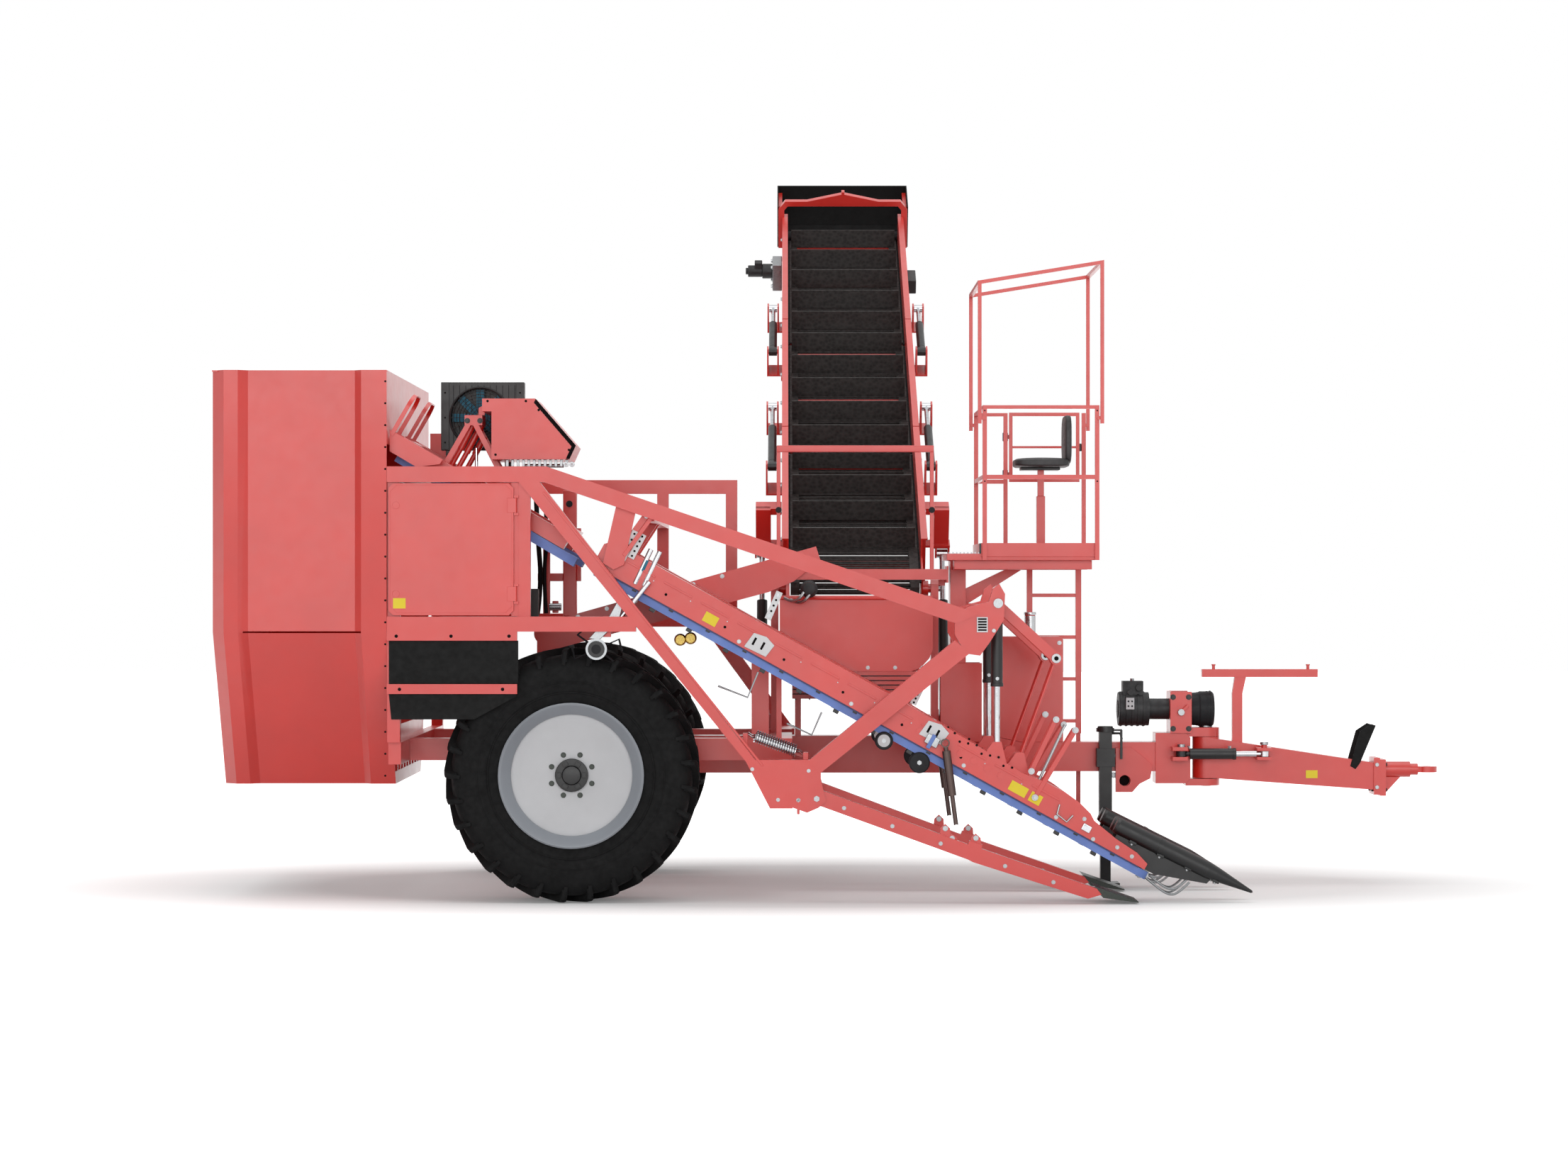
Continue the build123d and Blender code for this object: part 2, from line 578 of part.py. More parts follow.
with BuildPart() as link_arms:
    for mid in row_mids:
        for y in (mid - 60, mid + 100):
            bar(at(*[gusset_pin[0], y, gusset_pin[1]]), at(link_knee[0], y, link_knee[1]), 14, 62)
            for x, z in (gusset_pin, link_knee):
                rod(at(x, y - 7, z), at(x, y + 7, z), 40)
        rod(at(link_knee[0], mid - 67, link_knee[1]), at(link_knee[0], mid + 107, link_knee[1]),
            pin_radius)
    for mid in row_mids:
        rod(at(gusset_pin[0], mid - 80, gusset_pin[1]), at(gusset_pin[0], mid + 120, gusset_pin[1]),
            pin_radius + 0.3, Mode.SUBTRACT)
save(link_arms, "link_arms")
with BuildPart() as link_rods:
    for mid in row_mids:
        for y in (mid - 40, mid, mid + 40, mid + 80):
            rod(at(link_knee[0], y, link_knee[1]), at(link_eye[0], y, link_eye[1]), 9)
        rod(at(link_knee[0], mid - 52, link_knee[1]), at(link_knee[0], mid + 92, link_knee[1]), 36)
        rod(at(link_eye[0], mid - 50, link_eye[1]), at(link_eye[0], mid + 90, link_eye[1]), 36)
    for mid in row_mids:
        rod(at(link_knee[0], mid - 60, link_knee[1]), at(link_knee[0], mid + 100, link_knee[1]),
            pin_radius + 0.3, Mode.SUBTRACT)
save(link_rods, "link_rods")

# ---------------------------------------------------------------------------
# Share arms and their depth cylinders
# ---------------------------------------------------------------------------
share_y = (-1452, -1452 + row_pitch)
share_outline = ((1530, 700), (1580, 702), (2470, 372), (2480, 395), (2560, 368), (2553, 345),
                 (3270, 98), (3300, 60), (3215, 35), (2500, 262), (2470, 278), (2450, 285),
                 (1560, 608), (1530, 612), (1500, 640), (1500, 680))
with BuildPart() as share_arms:
    for y in share_y:
        slab(share_outline, side(y + 38), 74)
        rod(at(share_pivot[0], y - 50, share_pivot[1]), at(share_pivot[0], y + 50, share_pivot[1]),
            26, Mode.SUBTRACT)
        for x, z in ((2330, 470), (2372, 408), (2520, 410)):
            slab(((x - 34, z - 40), (x - 30, z), (x, z + 28), (x + 30, z), (x + 34, z - 60)),
                 side(y + 10), 20)
            rod(at(x, y - 20, z), at(x, y + 20, z), 12, Mode.SUBTRACT)
save(share_arms, "share_arms")
with BuildPart() as share_blades:
    for y in share_y:
        slab(((3260, 110), (3530, 16), (3528, 10), (3310, 40), (3302, 62), (3272, 99)),
             side(y + 300), 338)
save(share_blades, "share_blades")
with BuildPart() as share_cylinders:
    for y in share_y:
        start, end = at(2330, y, 1000), at(2400, y, 472)
        barrel(start, end, 26, 330, 28, 30)
        piston(start, end, 26, 330, 20, 24, 60)
save(share_cylinders, "share_cylinders")

# ---------------------------------------------------------------------------
# Drawbar, its steering cylinder and what stands on it
# ---------------------------------------------------------------------------
pole_y = (spine_y[0] + 10, spine_y[1] - 10)
eye_z = 755
with BuildPart() as drawbar:
    slab(((steer_x, 970), (steer_x, 703), (5251, 623), (5251, 802)), side(pole_y[1]),
         pole_y[1] - pole_y[0])
    rod(at(steer_x, spine_mid, 699), at(steer_x, spine_mid, 974), 90)
    rod(at(steer_x, spine_mid, 640), at(steer_x, spine_mid, 1040), steer_pin, Mode.SUBTRACT)
    for low, high in ((886, 906), (826, 846)):
        block((4460, 4560), (steer_cylinder_y - 30, pole_y[0]), (low, high))
    rod(at(4510, steer_cylinder_y, 906), at(4510, steer_cylinder_y, 930), pin_radius)
    block((5251, 5291), (pole_y[0] - 15, pole_y[1] + 15), (590, 836))
    # bent post with the bar that holds the hoses off the drawbar
    slab(((4318, 930), (4318, 1262), (4335, 1371), (4410, 1371), (4386, 1262), (4386, 920)),
         side(spine_mid + 25), 50)
    block((4116, 4888), (spine_mid - 30, spine_mid + 30), (1371, 1423))
    for x in (4196, 4826):
        rod(at(x, spine_mid, 1423), at(x, spine_mid, 1455), 10)
save(drawbar, "drawbar")
with BuildPart() as drawbar_eye:
    block((5291, 5331), (pole_y[0] - 15, pole_y[1] + 15), (583, 824))
    rod(at(5331, spine_mid, eye_z), at(5505, spine_mid, eye_z), 52)
    rod(at(5505, spine_mid, eye_z), at(5557, spine_mid, eye_z), 38)
    slab(((5331, 703), (5331, 600), (5345, 600), (5440, 703)), side(spine_mid + 12), 24)
    with BuildSketch(level(eye_z - 19)) as tongue:
        Polygon((5557, spine_mid - 38), (5620, spine_mid - 65), (5620, spine_mid + 65),
                (5557, spine_mid + 38), align=None)
        with Locations((front_reach - 65, spine_mid)):
            Circle(65)
    extrude(tongue.sketch, amount=38)
    rod(at(front_reach - 65, spine_mid, eye_z - 30), at(front_reach - 65, spine_mid, eye_z + 30),
        26, Mode.SUBTRACT)
save(drawbar_eye, "drawbar_eye")

up = Vector(0, 0, 1)
steer_pins = at(3960, steer_cylinder_y, 866), at(4510, steer_cylinder_y, 866)
with BuildPart() as steering_barrel:
    barrel(*steer_pins, 36, 360, 36, 34, up)
save(steering_barrel, "steering_barrel")
with BuildPart() as steering_rod:
    piston(*steer_pins, 36, 360, 32, 34, 215, up)
save(steering_rod, "steering_rod")

with BuildPart() as pto_rest:
    for y in (pole_y[0] - 8, pole_y[1]):
        slab(((5095, 780), (5130, 760), (5160, 800), (5265, 1050), (5235, 1060), (5160, 1010)),
             side(y + 8), 8)
    bar(at(5190, pole_y[0], 1000), at(5190, pole_y[1], 1000), 16, 16)
save(pto_rest, "pto_rest")

# ---------------------------------------------------------------------------
# Parking jack on the right of the nose
# ---------------------------------------------------------------------------
jack_x, jack_y = 3460, spine_y[0] - 45
jack_half = 42
with BuildPart() as jack_tube:
    block((jack_x - jack_half, jack_x + jack_half), (jack_y - jack_half, jack_y + jack_half),
          (455, 1010))
    block((jack_x - 36, jack_x + 36), (jack_y - 36, jack_y + 36), (450, 990), Mode.SUBTRACT)
    block((jack_x - 60, jack_x + 60), (jack_y - 50, spine_y[0]), (780, 900))
    block((jack_x - 36, jack_x + 36), (jack_y - 36, jack_y + 36), (450, 990), Mode.SUBTRACT)
    rod(at(jack_x, jack_y, 1010), at(jack_x, jack_y, 1036), 60)
    bar(at(jack_x + 30, jack_y - 20, 1022), at(jack_x + 110, jack_y - 20, 1022), 14, 14)
    bar(at(jack_x + 105, jack_y - 20, 1024), at(jack_x + 105, jack_y - 20, 830), 16, 16)
save(jack_tube, "jack_tube")
with BuildPart() as jack_leg:
    block((jack_x - 34, jack_x + 34), (jack_y - 34, jack_y + 34), (12, 620))
    block((jack_x - 90, jack_x + 90), (jack_y - 90, jack_y + 90), (0, 12))
save(jack_leg, "jack_leg")

# ---------------------------------------------------------------------------
# Pump drive on the nose
# ---------------------------------------------------------------------------
with BuildPart() as pump_unit:
    rod(at(3557, spine_mid, shaft_z), at(3760, spine_mid, shaft_z), 112)
    rod(at(3760, spine_mid, shaft_z), at(3894, spine_mid, shaft_z), 70)
    block((3585, 3722), (spine_mid - 60, spine_mid + 60), (1180, 1345))
    block((3598, 3662), (spine_mid - 124, spine_mid), (1150, 1240))
save(pump_unit, "pump_unit")
with BuildPart() as pto_guard:
    with BuildSketch(side(spine_mid)) as section:
        Polygon((3906.5, shaft_z + 98), (4090, shaft_z + 112), (4100, shaft_z + 118),
                (4180, shaft_z + 118), (4192, shaft_z + 108), (4192, shaft_z + 100),
                (4100, shaft_z + 104), (3914, shaft_z + 90), (3914, shaft_z), (3906.5, shaft_z),
                align=None)
    revolve(axis=Axis(at(0, spine_mid, shaft_z), (1, 0, 0)))
    rod(at(3914, spine_mid, shaft_z), at(4110, spine_mid, shaft_z), 18)
save(pto_guard, "pto_guard")

# ---------------------------------------------------------------------------
# Discharge elevator
# ---------------------------------------------------------------------------
web_half = 427
rail = (440, 452)               # side plates, out from the elevator's middle
rail_n = (-250, 210)
flange_out = 484
joint_gap = 12
hinge_n = -282                  # the folding hinges lie below the side plates
return_n = -95                  # the web's return run
rod_pitch = 81
flight_pitch = 405
flight_height = 145
pivot_v, pivot_n = 150, -120
joints_v = (elevator_lengths[0], elevator_lengths[0] + elevator_lengths[1])
web_end = sum(elevator_lengths)
hood_end = web_end + hood_length


def elevator_block(x, v, n, mode=Mode.ADD):
    """A box square to the elevator: x from its middle, v up along it, n above its web."""
    with BuildSketch(elevator_level(n[0])) as outline:
        with Locations(((x[0] + x[1]) / 2, (v[0] + v[1]) / 2)):
            Rectangle(abs(x[1] - x[0]), v[1] - v[0])
    extrude(outline.sketch, amount=n[1] - n[0], mode=mode)


def elevator_pair(x, v, n, mode=Mode.ADD):
    """The same box on both sides."""
    elevator_block(x, v, n, mode)
    elevator_block((-x[1], -x[0]), v, n, mode)


def elevator_pin(x, v, n, radius, mode=Mode.ADD):
    """A pin across the elevator on both sides, from x[0] to x[1] out from its middle."""
    for hand in (-1, 1):
        rod(elevator_point(hand * x[0], v, n), elevator_point(hand * x[1], v, n), radius, mode)


def elevator_plate(points, x, mode=Mode.ADD):
    """A plate beside the elevator on both sides; the points are (v, n)."""
    for low in (x[0], -x[1]):
        slab(points, elevator_side(elevator_mid + low), x[1] - x[0], mode)


def section_frame(start, end):
    """Side plates, flanges and cross members of one section."""
    elevator_pair(rail, (start, end), rail_n)
    elevator_pair((rail[0], flange_out), (start, end), (rail_n[1] - 12, rail_n[1]))
    elevator_pair((rail[0], flange_out), (start, end), (rail_n[0], rail_n[0] + 12))
    for v in (start + 120, (start + end) / 2, end - 120):
        elevator_block((-rail[0], rail[0]), (v - 20, v + 20), (-60, -30))
        elevator_pair((rail[1], flange_out - 8), (v - 25, v + 25), (rail_n[0], rail_n[1]))


def hinge_ears(v, towards, x):
    """Ears under the flanges that reach from one section to the hinge line at v."""
    elevator_plate(((v + towards * 130, rail_n[0] + 1), (v + towards * 10, rail_n[0] + 1),
                    (v, hinge_n + 26), (v - towards * 18, hinge_n + 18),
                    (v - towards * 26, hinge_n), (v - towards * 18, hinge_n - 18),
                    (v, hinge_n - 26), (v + towards * 20, hinge_n - 24)), x)


ear_inner, ear_outer = (452, 466), (470, 484)
fold_x = 552                    # the folding cylinders, out from the elevator's middle
fold_pins = (((1500, 130), (2480, 130)), ((3500, 110), (4300, 110)))


def fold_lug(v, n):
    """Cheeks either side of a folding cylinder's eye, carried by the side plate."""
    for low, high in ((fold_x - 44, fold_x - 32), (fold_x + 32, fold_x + 44)):
        elevator_plate(((v - 90, -40), (v - 30, n + 30), (v + 30, n + 30), (v + 90, -40)),
                       (low, high))
    elevator_pair((rail[1], fold_x + 44), (v - 90, v + 90), (-52, -40))


lift_cheeks = ((570, 582), (658, 670))
foot_v = 232                    # where the side plates reach their full height
with BuildPart() as elevator_lower:
    section_frame(foot_v, joints_v[0] - joint_gap / 2)
    elevator_plate(((60, 0), (110, 50), (195, 72), (foot_v, 72), (foot_v, rail_n[0]),
                    (60, rail_n[0])), rail)
    elevator_pin((rail[0] - 4, 490), pivot_v, pivot_n, 52)
    elevator_pin((rail[0] - 8, 500), pivot_v, pivot_n, 30 + pin_fit, Mode.SUBTRACT)
    hinge_ears(joints_v[0], -1, ear_inner)
    elevator_pin((rail[1], 492), joints_v[0], hinge_n, pin_radius - pin_fit)
    fold_lug(*fold_pins[0][0])
    elevator_pin((fold_x - 44, fold_x + 44), *fold_pins[0][0], pin_radius)
    # brackets of the two lift cylinders
    elevator_pair((rail[1], 672), (1000, 1090), (rail_n[0], rail_n[0] + 16))
    for low, high in lift_cheeks:
        elevator_plate(((1000, -250), (1090, -250), (1090, -330), (1060, -350), (1030, -350),
                        (1000, -330)), (low, high))
save(elevator_lower, "elevator_lower")

with BuildPart() as elevator_middle:
    section_frame(joints_v[0] + joint_gap / 2, joints_v[1] - joint_gap / 2)
    hinge_ears(joints_v[0], 1, ear_outer)
    elevator_pin((rail[1], 500), joints_v[0], hinge_n, pin_radius, Mode.SUBTRACT)
    hinge_ears(joints_v[1], -1, ear_inner)
    elevator_pin((rail[1], 492), joints_v[1], hinge_n, pin_radius - pin_fit)
    fold_lug(*fold_pins[0][1])
    fold_lug(*fold_pins[1][0])
    elevator_pin((fold_x - 44, fold_x + 44), *fold_pins[1][0], pin_radius)
save(elevator_middle, "elevator_middle")

with BuildPart() as elevator_top:
    section_frame(joints_v[1] + joint_gap / 2, web_end)
    hinge_ears(joints_v[1], 1, ear_outer)
    elevator_pin((rail[1], 500), joints_v[1], hinge_n, pin_radius, Mode.SUBTRACT)
    fold_lug(*fold_pins[1][1])
save(elevator_top, "elevator_top")


def web(start, end, first_flight):
    """Upper and lower run of the rod web with its flights, between two places."""
    for n in (0, return_n):
        elevator_pair((web_half - 60, web_half), (start, end), (n - 5, n + 5))
    rods = int((end - start) / rod_pitch)
    for n in (0, return_n):
        with BuildSketch(elevator_level(n - 5)) as outline:
            with Locations(*[(0, start + 30 + index * rod_pitch) for index in range(rods)]):
                Rectangle(2 * web_half, 11)
        extrude(outline.sketch, amount=10)
    for n, height in ((5, flight_height), (return_n - 5, -flight_height)):
        with BuildSketch(elevator_level(n)) as outline:
            with Locations(*[(0, v) for v in range(int(first_flight), int(end) - 20, flight_pitch)]):
                Rectangle(2 * web_half - 30, 10)
        extrude(outline.sketch, amount=height)


with BuildPart() as web_lower:
    web(20, joints_v[0] - 24, 110 + flight_pitch)
    # the web's turn round the foot
    for v, n in ((4, -12), (-12, -34), (-12, -61), (4, -83)):
        elevator_block((-web_half, web_half), (v - 5, v + 5), (n - 5, n + 5))
    elevator_plate(((20, 5), (4, 0), (-17, -25), (-17, -70), (4, -95), (20, -100), (20, -85),
                    (0, -62), (0, -33), (20, -10)), (web_half - 60, web_half))
save(web_lower, "web_lower")
with BuildPart() as web_middle:
    web(joints_v[0] + 24, joints_v[1] - 24, 110 + 5 * flight_pitch)
save(web_middle, "web_middle")
with BuildPart() as web_top:
    web(joints_v[1] + 24, web_end - 30, 110 + 10 * flight_pitch)
save(web_top, "web_top")

# hood over the discharge end: an arch astride the mouth that carries rubber flaps
arch_out, arch_top = 515, 340
gable_top, knob_top = 400, 420
with BuildPart() as elevator_hood:
    arch = ((flange_out, hood_low), (arch_out, hood_low), (arch_out, arch_top - 68),
            (arch_out - 55, arch_top), (285, arch_top), (12, gable_top), (12, knob_top),
            (0, knob_top), (0, arch_top - 42), (arch_out - 75, arch_top - 42),
            (467, arch_top - 75), (467, rail_n[1]), (flange_out, rail_n[1]))
    with BuildSketch(Plane(origin=elevator_point(0, web_end - 60, 0), x_dir=(1, 0, 0),
                           z_dir=(0, -cos(rise), -sin(rise)))) as outline:
        for hand in (1, -1):
            Polygon(*[(hand * x, n) for x, n in arch], align=None)
    extrude(outline.sketch, amount=-50)
    elevator_pair((flange_out, arch_out), (web_end - 60, hood_end - 10), (hood_low, hood_low + 40))
    elevator_pair((flange_out, arch_out), (web_end - 60, hood_end - 10), (190, 230))
save(elevator_hood, "elevator_hood")
with BuildPart() as hood_flaps:
    elevator_pair((arch_out, arch_out + 8), (web_end - 40, hood_end), (hood_low, arch_top - 52))
    elevator_block((-arch_out - 8, arch_out + 8), (hood_end - 10, hood_end),
                   (hood_low, arch_top - 52))
save(hood_flaps, "hood_flaps")

lift_x = 620                    # the two lift cylinders, out from the elevator's middle
lift_foot = (700, 1100)         # y and z of their lower pins
lift_head = elevator_point(0, 1045, -318)
post_x = (507, 557)
with BuildPart() as elevator_posts:
    for hand in (-1, 1):
        x = sorted(elevator_mid + hand * v for v in post_x)
        slab(((170, spine_z[1]), (330, spine_z[1]), (250, 1900), (250, 1990), (215, 2020),
              (160, 2020), (130, 1990), (130, 1900)), across(x[0]), x[1] - x[0])
        pin = sorted((hand * 436, hand * post_x[1]))
        rod(elevator_point(pin[0], pivot_v, pivot_n), elevator_point(pin[1], pivot_v, pivot_n), 30)
        # arm out to the lift cylinder's lower pin
        block(x, (320, lift_foot[0] - 50), (1010, 1110))
        arm = sorted(elevator_mid + hand * v for v in (post_x[0], 672))
        block(arm, (lift_foot[0] - 78, lift_foot[0] - 50), (1010, 1110))
        for cheek in lift_cheeks:
            cheek = sorted(elevator_mid + hand * v for v in cheek)
            slab(((lift_foot[0] - 50, 1010), (lift_foot[0], 1060), (lift_foot[0] + 40, 1100),
                  (lift_foot[0], 1140), (lift_foot[0] - 50, 1110)),
                 across(cheek[0]), cheek[1] - cheek[0])
        pin = [elevator_mid + hand * v for v in (lift_cheeks[0][0], lift_cheeks[1][1])]
        rod(at(pin[0], *lift_foot), at(pin[1], *lift_foot), pin_radius)
    # cross beam in front of the elevator's foot, with its flange beside the mast
    block((1340, 2400), (-58, -2), (2020, 2090))
    block((1340, 1364), (-52, -46), (1850, 2030))
    block((2400, 2412), (-58, 350), (2000, 2110))
    block((2354, 2400), (200, 250), (2000, 2020))
    block((2340, 2400), (200, 250), (1980, 2000))
save(elevator_posts, "elevator_posts")

east = Vector(1, 0, 0)


def cylinder_pair(x, start, end):
    """The (start, end) pins of two like cylinders, x out from the elevator's middle."""
    return [(start + east * hand * x, end + east * hand * x) for hand in (-1, 1)]


lift_pins = cylinder_pair(lift_x, at(elevator_mid, *lift_foot), lift_head)
with BuildPart() as elevator_lift_barrels:
    for pins in lift_pins:
        barrel(*pins, 36, 820, 36, 72, east)
save(elevator_lift_barrels, "elevator_lift_barrels")
with BuildPart() as elevator_lift_rods:
    for pins in lift_pins:
        piston(*pins, 36, 820, 32, 72, 590, east)
save(elevator_lift_rods, "elevator_lift_rods")

for index, length in enumerate((620, 500)):
    start, end = [elevator_point(0, *pin) for pin in fold_pins[index]]
    with BuildPart() as fold_barrels:
        for pins in cylinder_pair(fold_x, start, end):
            barrel(*pins, 30, length, 32, 60, east)
    save(fold_barrels, f"fold_barrels_{index + 1}")
    with BuildPart() as fold_rods:
        for pins in cylinder_pair(fold_x, start, end):
            piston(*pins, 30, length, 28, 60, length - 120, east)
    save(fold_rods, f"fold_rods_{index + 1}")

# ---------------------------------------------------------------------------
# Platform on its mast, with its rails, gate, seat and ladder
# ---------------------------------------------------------------------------
deck_z = (2147, 2189)
with BuildPart() as mast:
    block((2431, 2534), (100, 350), (spine_z[1], deck_z[0]))
    block((2365, 2431), (130, 320), (spine_z[1], 1467))
    block((2365, 2640), (84, 100), (944, 1467))
    block((2365, 2640), (350, 366), (944, 1467))
    slab(((2534, 1850), (2534, 1960), (2925, deck_z[0]), (3005, deck_z[0])), side(265), 80)
    for y in (-250, 110, 580):
        block((2440, 3340), (y - 30, y + 30), (deck_z[0] - 60, deck_z[0]))
    block((2444, 2524), (-280, 610), (deck_z[0] - 60, deck_z[0]))
save(mast, "mast")

deck_x = (2390, 3360)
deck_y = (-350, 700)
bar_pitch = 70
with BuildPart() as platform:
    # grating: a rim and bearing bars, notched for the elevator's lift cylinder
    for y in (deck_y[0], 350):
        block((deck_x[0], deck_x[1] if y < 0 else 2516), (y, y + 12), deck_z)
    block((2504, deck_x[1]), (deck_y[1] - 12, deck_y[1]), deck_z)
    block((deck_x[0], deck_x[0] + 12), (deck_y[0], 362), deck_z)
    block((2504, 2516), (350, deck_y[1]), deck_z)
    block((deck_x[1] - 12, deck_x[1]), deck_y, deck_z)
    for index in range(13):
        x = deck_x[0] + 40 + index * bar_pitch
        y_end = 356 if x < 2504 else deck_y[1] - 6
        block((x, x + 8), (deck_y[0] + 6, y_end), (deck_z[1] - 30, deck_z[1]))
    for y in (-180, 0, 180, 345, 520):
        block((deck_x[0] + 6 if y < 350 else 2510, deck_x[1] - 6), (y, y + 8),
              (deck_z[1] - 12, deck_z[1]))
    # kick plates
    block((2612, 3383), (deck_y[0] - 6, deck_y[0]), (deck_z[1] - 20, 2258))
    block((2612, 2618), (deck_y[0] - 6, deck_y[1]), (deck_z[1], 2258))
save(platform, "platform")

rail_z = (3132, 3155)
near_rail, far_rail = deck_y[0] - 20, deck_y[1] + 14
gate_hinge = (2834, far_rail + 26)
gate_hinge_z = (2739, 2994)
with BuildPart() as platform_rails:
    for y in (near_rail, far_rail):
        for x in (2634, 3366):
            block((x - 14, x + 14), (y - 14, y + 14), (deck_z[0], rail_z[1]))
        ends = (2634, 3366) if y < 0 else (2634, 2834)
        for low, high in (rail_z, (2674, 2702)):
            block(ends, (y - 12, y + 12), (low, high))
    block((2820, 2848), (far_rail - 14, far_rail + 14), (deck_z[0], rail_z[1]))
    block((2634, 3366), (far_rail - 14, far_rail + 14), (deck_z[0], deck_z[1]))
    for low, high in (rail_z, (2674, 2702)):
        block((2622, 2646), (near_rail, far_rail), (low, high))
    # pins of the gate's hinges
    for z in gate_hinge_z:
        rod(at(*gate_hinge, z - 26), at(*gate_hinge, z + 20), 5 - pin_fit)
        block((2824, 2844), (far_rail + 14, gate_hinge[1] + 8), (z - 26, z - 16))
    # outer frame with its sloping top
    for y in (near_rail - 26, far_rail + 26):
        for x, z in ((2600, 3960), (3397, 4090)):
            block((x - 12, x + 12), (y - 12, y + 12), (3035, z))
            block((min(x, 2634 if x < 3000 else 3366), max(x, 2634 if x < 3000 else 3366)),
                  sorted((y, near_rail if y < 0 else far_rail)), (3060, 3084))
        slab(((2588, 3940), (2588, 3964), (3409, 4098), (3409, 4074)), side(y + 12), 24)
    for x, z in ((2600, 3954), (3397, 4084)):
        block((x - 12, x + 12), (near_rail - 26, far_rail + 26), (z - 12, z + 12))
save(platform_rails, "platform_rails")

with BuildPart() as gate:
    low, high = gate_hinge[0] + 24, 3337
    for z in (2698, 3146):
        block((low, high), (far_rail - 8, far_rail + 8), (z - 12, z + 12))
    for x in (low + 12, high - 12):
        block((x - 12, x + 12), (far_rail - 8, far_rail + 8), (2686, 3158))
    block((low, high), (far_rail - 5, far_rail + 5), (2915, 2931))
    for z in gate_hinge_z:
        block((gate_hinge[0], low + 24), (gate_hinge[1] - 8, gate_hinge[1]), (z - 14, z + 14))
        block((low, low + 24), (far_rail, gate_hinge[1]), (z - 14, z + 14))
        rod(at(*gate_hinge, z - 14), at(*gate_hinge, z + 14), 10)
        rod(at(*gate_hinge, z - 20), at(*gate_hinge, z + 20), 5, Mode.SUBTRACT)
save(gate, "gate")

with BuildPart() as seat_post:
    block((3008, 3064), (147, 203), (deck_z[1], 2576))
    block((3015, 3057), (154, 196), (2576, 2755))
    block((2960, 3112), (110, 240), (2755, 2765))
save(seat_post, "seat_post")
with BuildPart() as seat:
    block((2856, 3220), (-35, 385), (2765, 2825))
    slab(((3150, 2825), (3200, 2825), (3232, 3110), (3185, 3110)), side(385), 420)
save(seat, "seat")

with BuildPart() as ladder:
    for x in (2977, 3305):
        block((x - 19, x + 19), (spine_y[1] + 40, spine_y[1] + 80), (988, deck_z[0]))
    for z in (1916, 1635, 1354, 1072):
        block((2977, 3305), (spine_y[1] + 45, spine_y[1] + 75), (z - 12, z + 12))
    for x in (2977, 3305):
        block((x - 15, x + 15), (spine_y[1] + 50, spine_y[1] + 70), (500, 988))
    for z in (790, 510):
        block((2977, 3305), (spine_y[1] + 45, spine_y[1] + 75), (z - 12, z + 12))
    for low in (2960, 3285):
        block((low, low + 40), (spine_y[1], spine_y[1] + 52), (850, 900))
save(ladder, "ladder")

with BuildPart() as oil_tank:
    slab(((2660, 984), (2660, 1622), (2680, 1642), (3165, 1642), (3185, 1622), (3185, 940),
          (2900, 940), (2700, 984)), side(340), 180)
    rod(at(2970, 250, 1642), at(2970, 250, 1798), 36)
save(oil_tank, "oil_tank")

# ---------------------------------------------------------------------------
# Hopper at the elevator's foot and the web that fills it
# ---------------------------------------------------------------------------
with BuildPart() as hopper:
    wall = ((1299, 1915), (2309, 1915), (2309, 1560), (2285, 1500), (2230, 1440), (2170, 1416),
            (1299, 1416))
    slab(wall, side(-60), -8)
    block((1299, 1307), (-60, 180), (1424, 1915))
    block((2301, 2309), (-60, 120), (1560, 1915))
    block((1299, 2309), (-66, -60), (1893, 1915))
    block((1299, 2170), (-60, 120), (1415, 1424))
    block((1381, 2200), (-50, 330), (1234, 1415))
    for low, high in ((1400, 1440), (2140, 2180)):
        block((low, high), (160, 320), (spine_z[1], 1234))
    # rod web that rises behind the hopper's wall
    for hand in (-1, 1):
        x = sorted((elevator_mid + hand * (web_half - 60), elevator_mid + hand * web_half))
        block(x, (40, 50), (1415, 1830))
    for index in range(5):
        block((elevator_mid - web_half, elevator_mid + web_half), (40, 50),
              (1450 + index * 81, 1461 + index * 81))
save(hopper, "hopper")

# ---------------------------------------------------------------------------
# Cleaning conveyor under the channels' upper ends
# ---------------------------------------------------------------------------
clean_y = (-95, 700)
with BuildPart() as cleaning_conveyor:
    plate = ((-300, 1722), (-300, 1530), (830, 1831), (1225, 1938), (1225, 2151))
    for y in (clean_y[0] + 8, clean_y[1]):
        slab(plate, side(y), 8)
    slab(((1225, 1938), (1393, 2010), (1566, 2150), (1538, 2239), (1225, 2151)),
         side(clean_y[0] + 8), 8)
    for x in (-250, 1180):
        z = 1650 + (x + 300) * 0.281
        rod(at(x, clean_y[0] + 2, z), at(x, clean_y[1] - 2, z), 70)
    slab(((-250, 1720), (1180, 2122), (1180, 2110), (-250, 1708)), side(clean_y[1] - 2),
         clean_y[1] - clean_y[0] - 4)
save(cleaning_conveyor, "cleaning_conveyor")

# ---------------------------------------------------------------------------
# Leaf conveyor, topper, hoops and the cooler at the upper rear
# ---------------------------------------------------------------------------
leaf_low, leaf_high = (50, 2095), (-1128, 2790)
leaf_fall = atan2(leaf_high[1] - leaf_low[1], leaf_low[0] - leaf_high[0])


def leaf_side(y):
    """Seen from the left, x up along the leaf conveyor and y square to it."""
    return Plane(origin=at(leaf_low[0], y, leaf_low[1]),
                 x_dir=(-cos(leaf_fall), 0, sin(leaf_fall)), z_dir=(0, 1, 0))


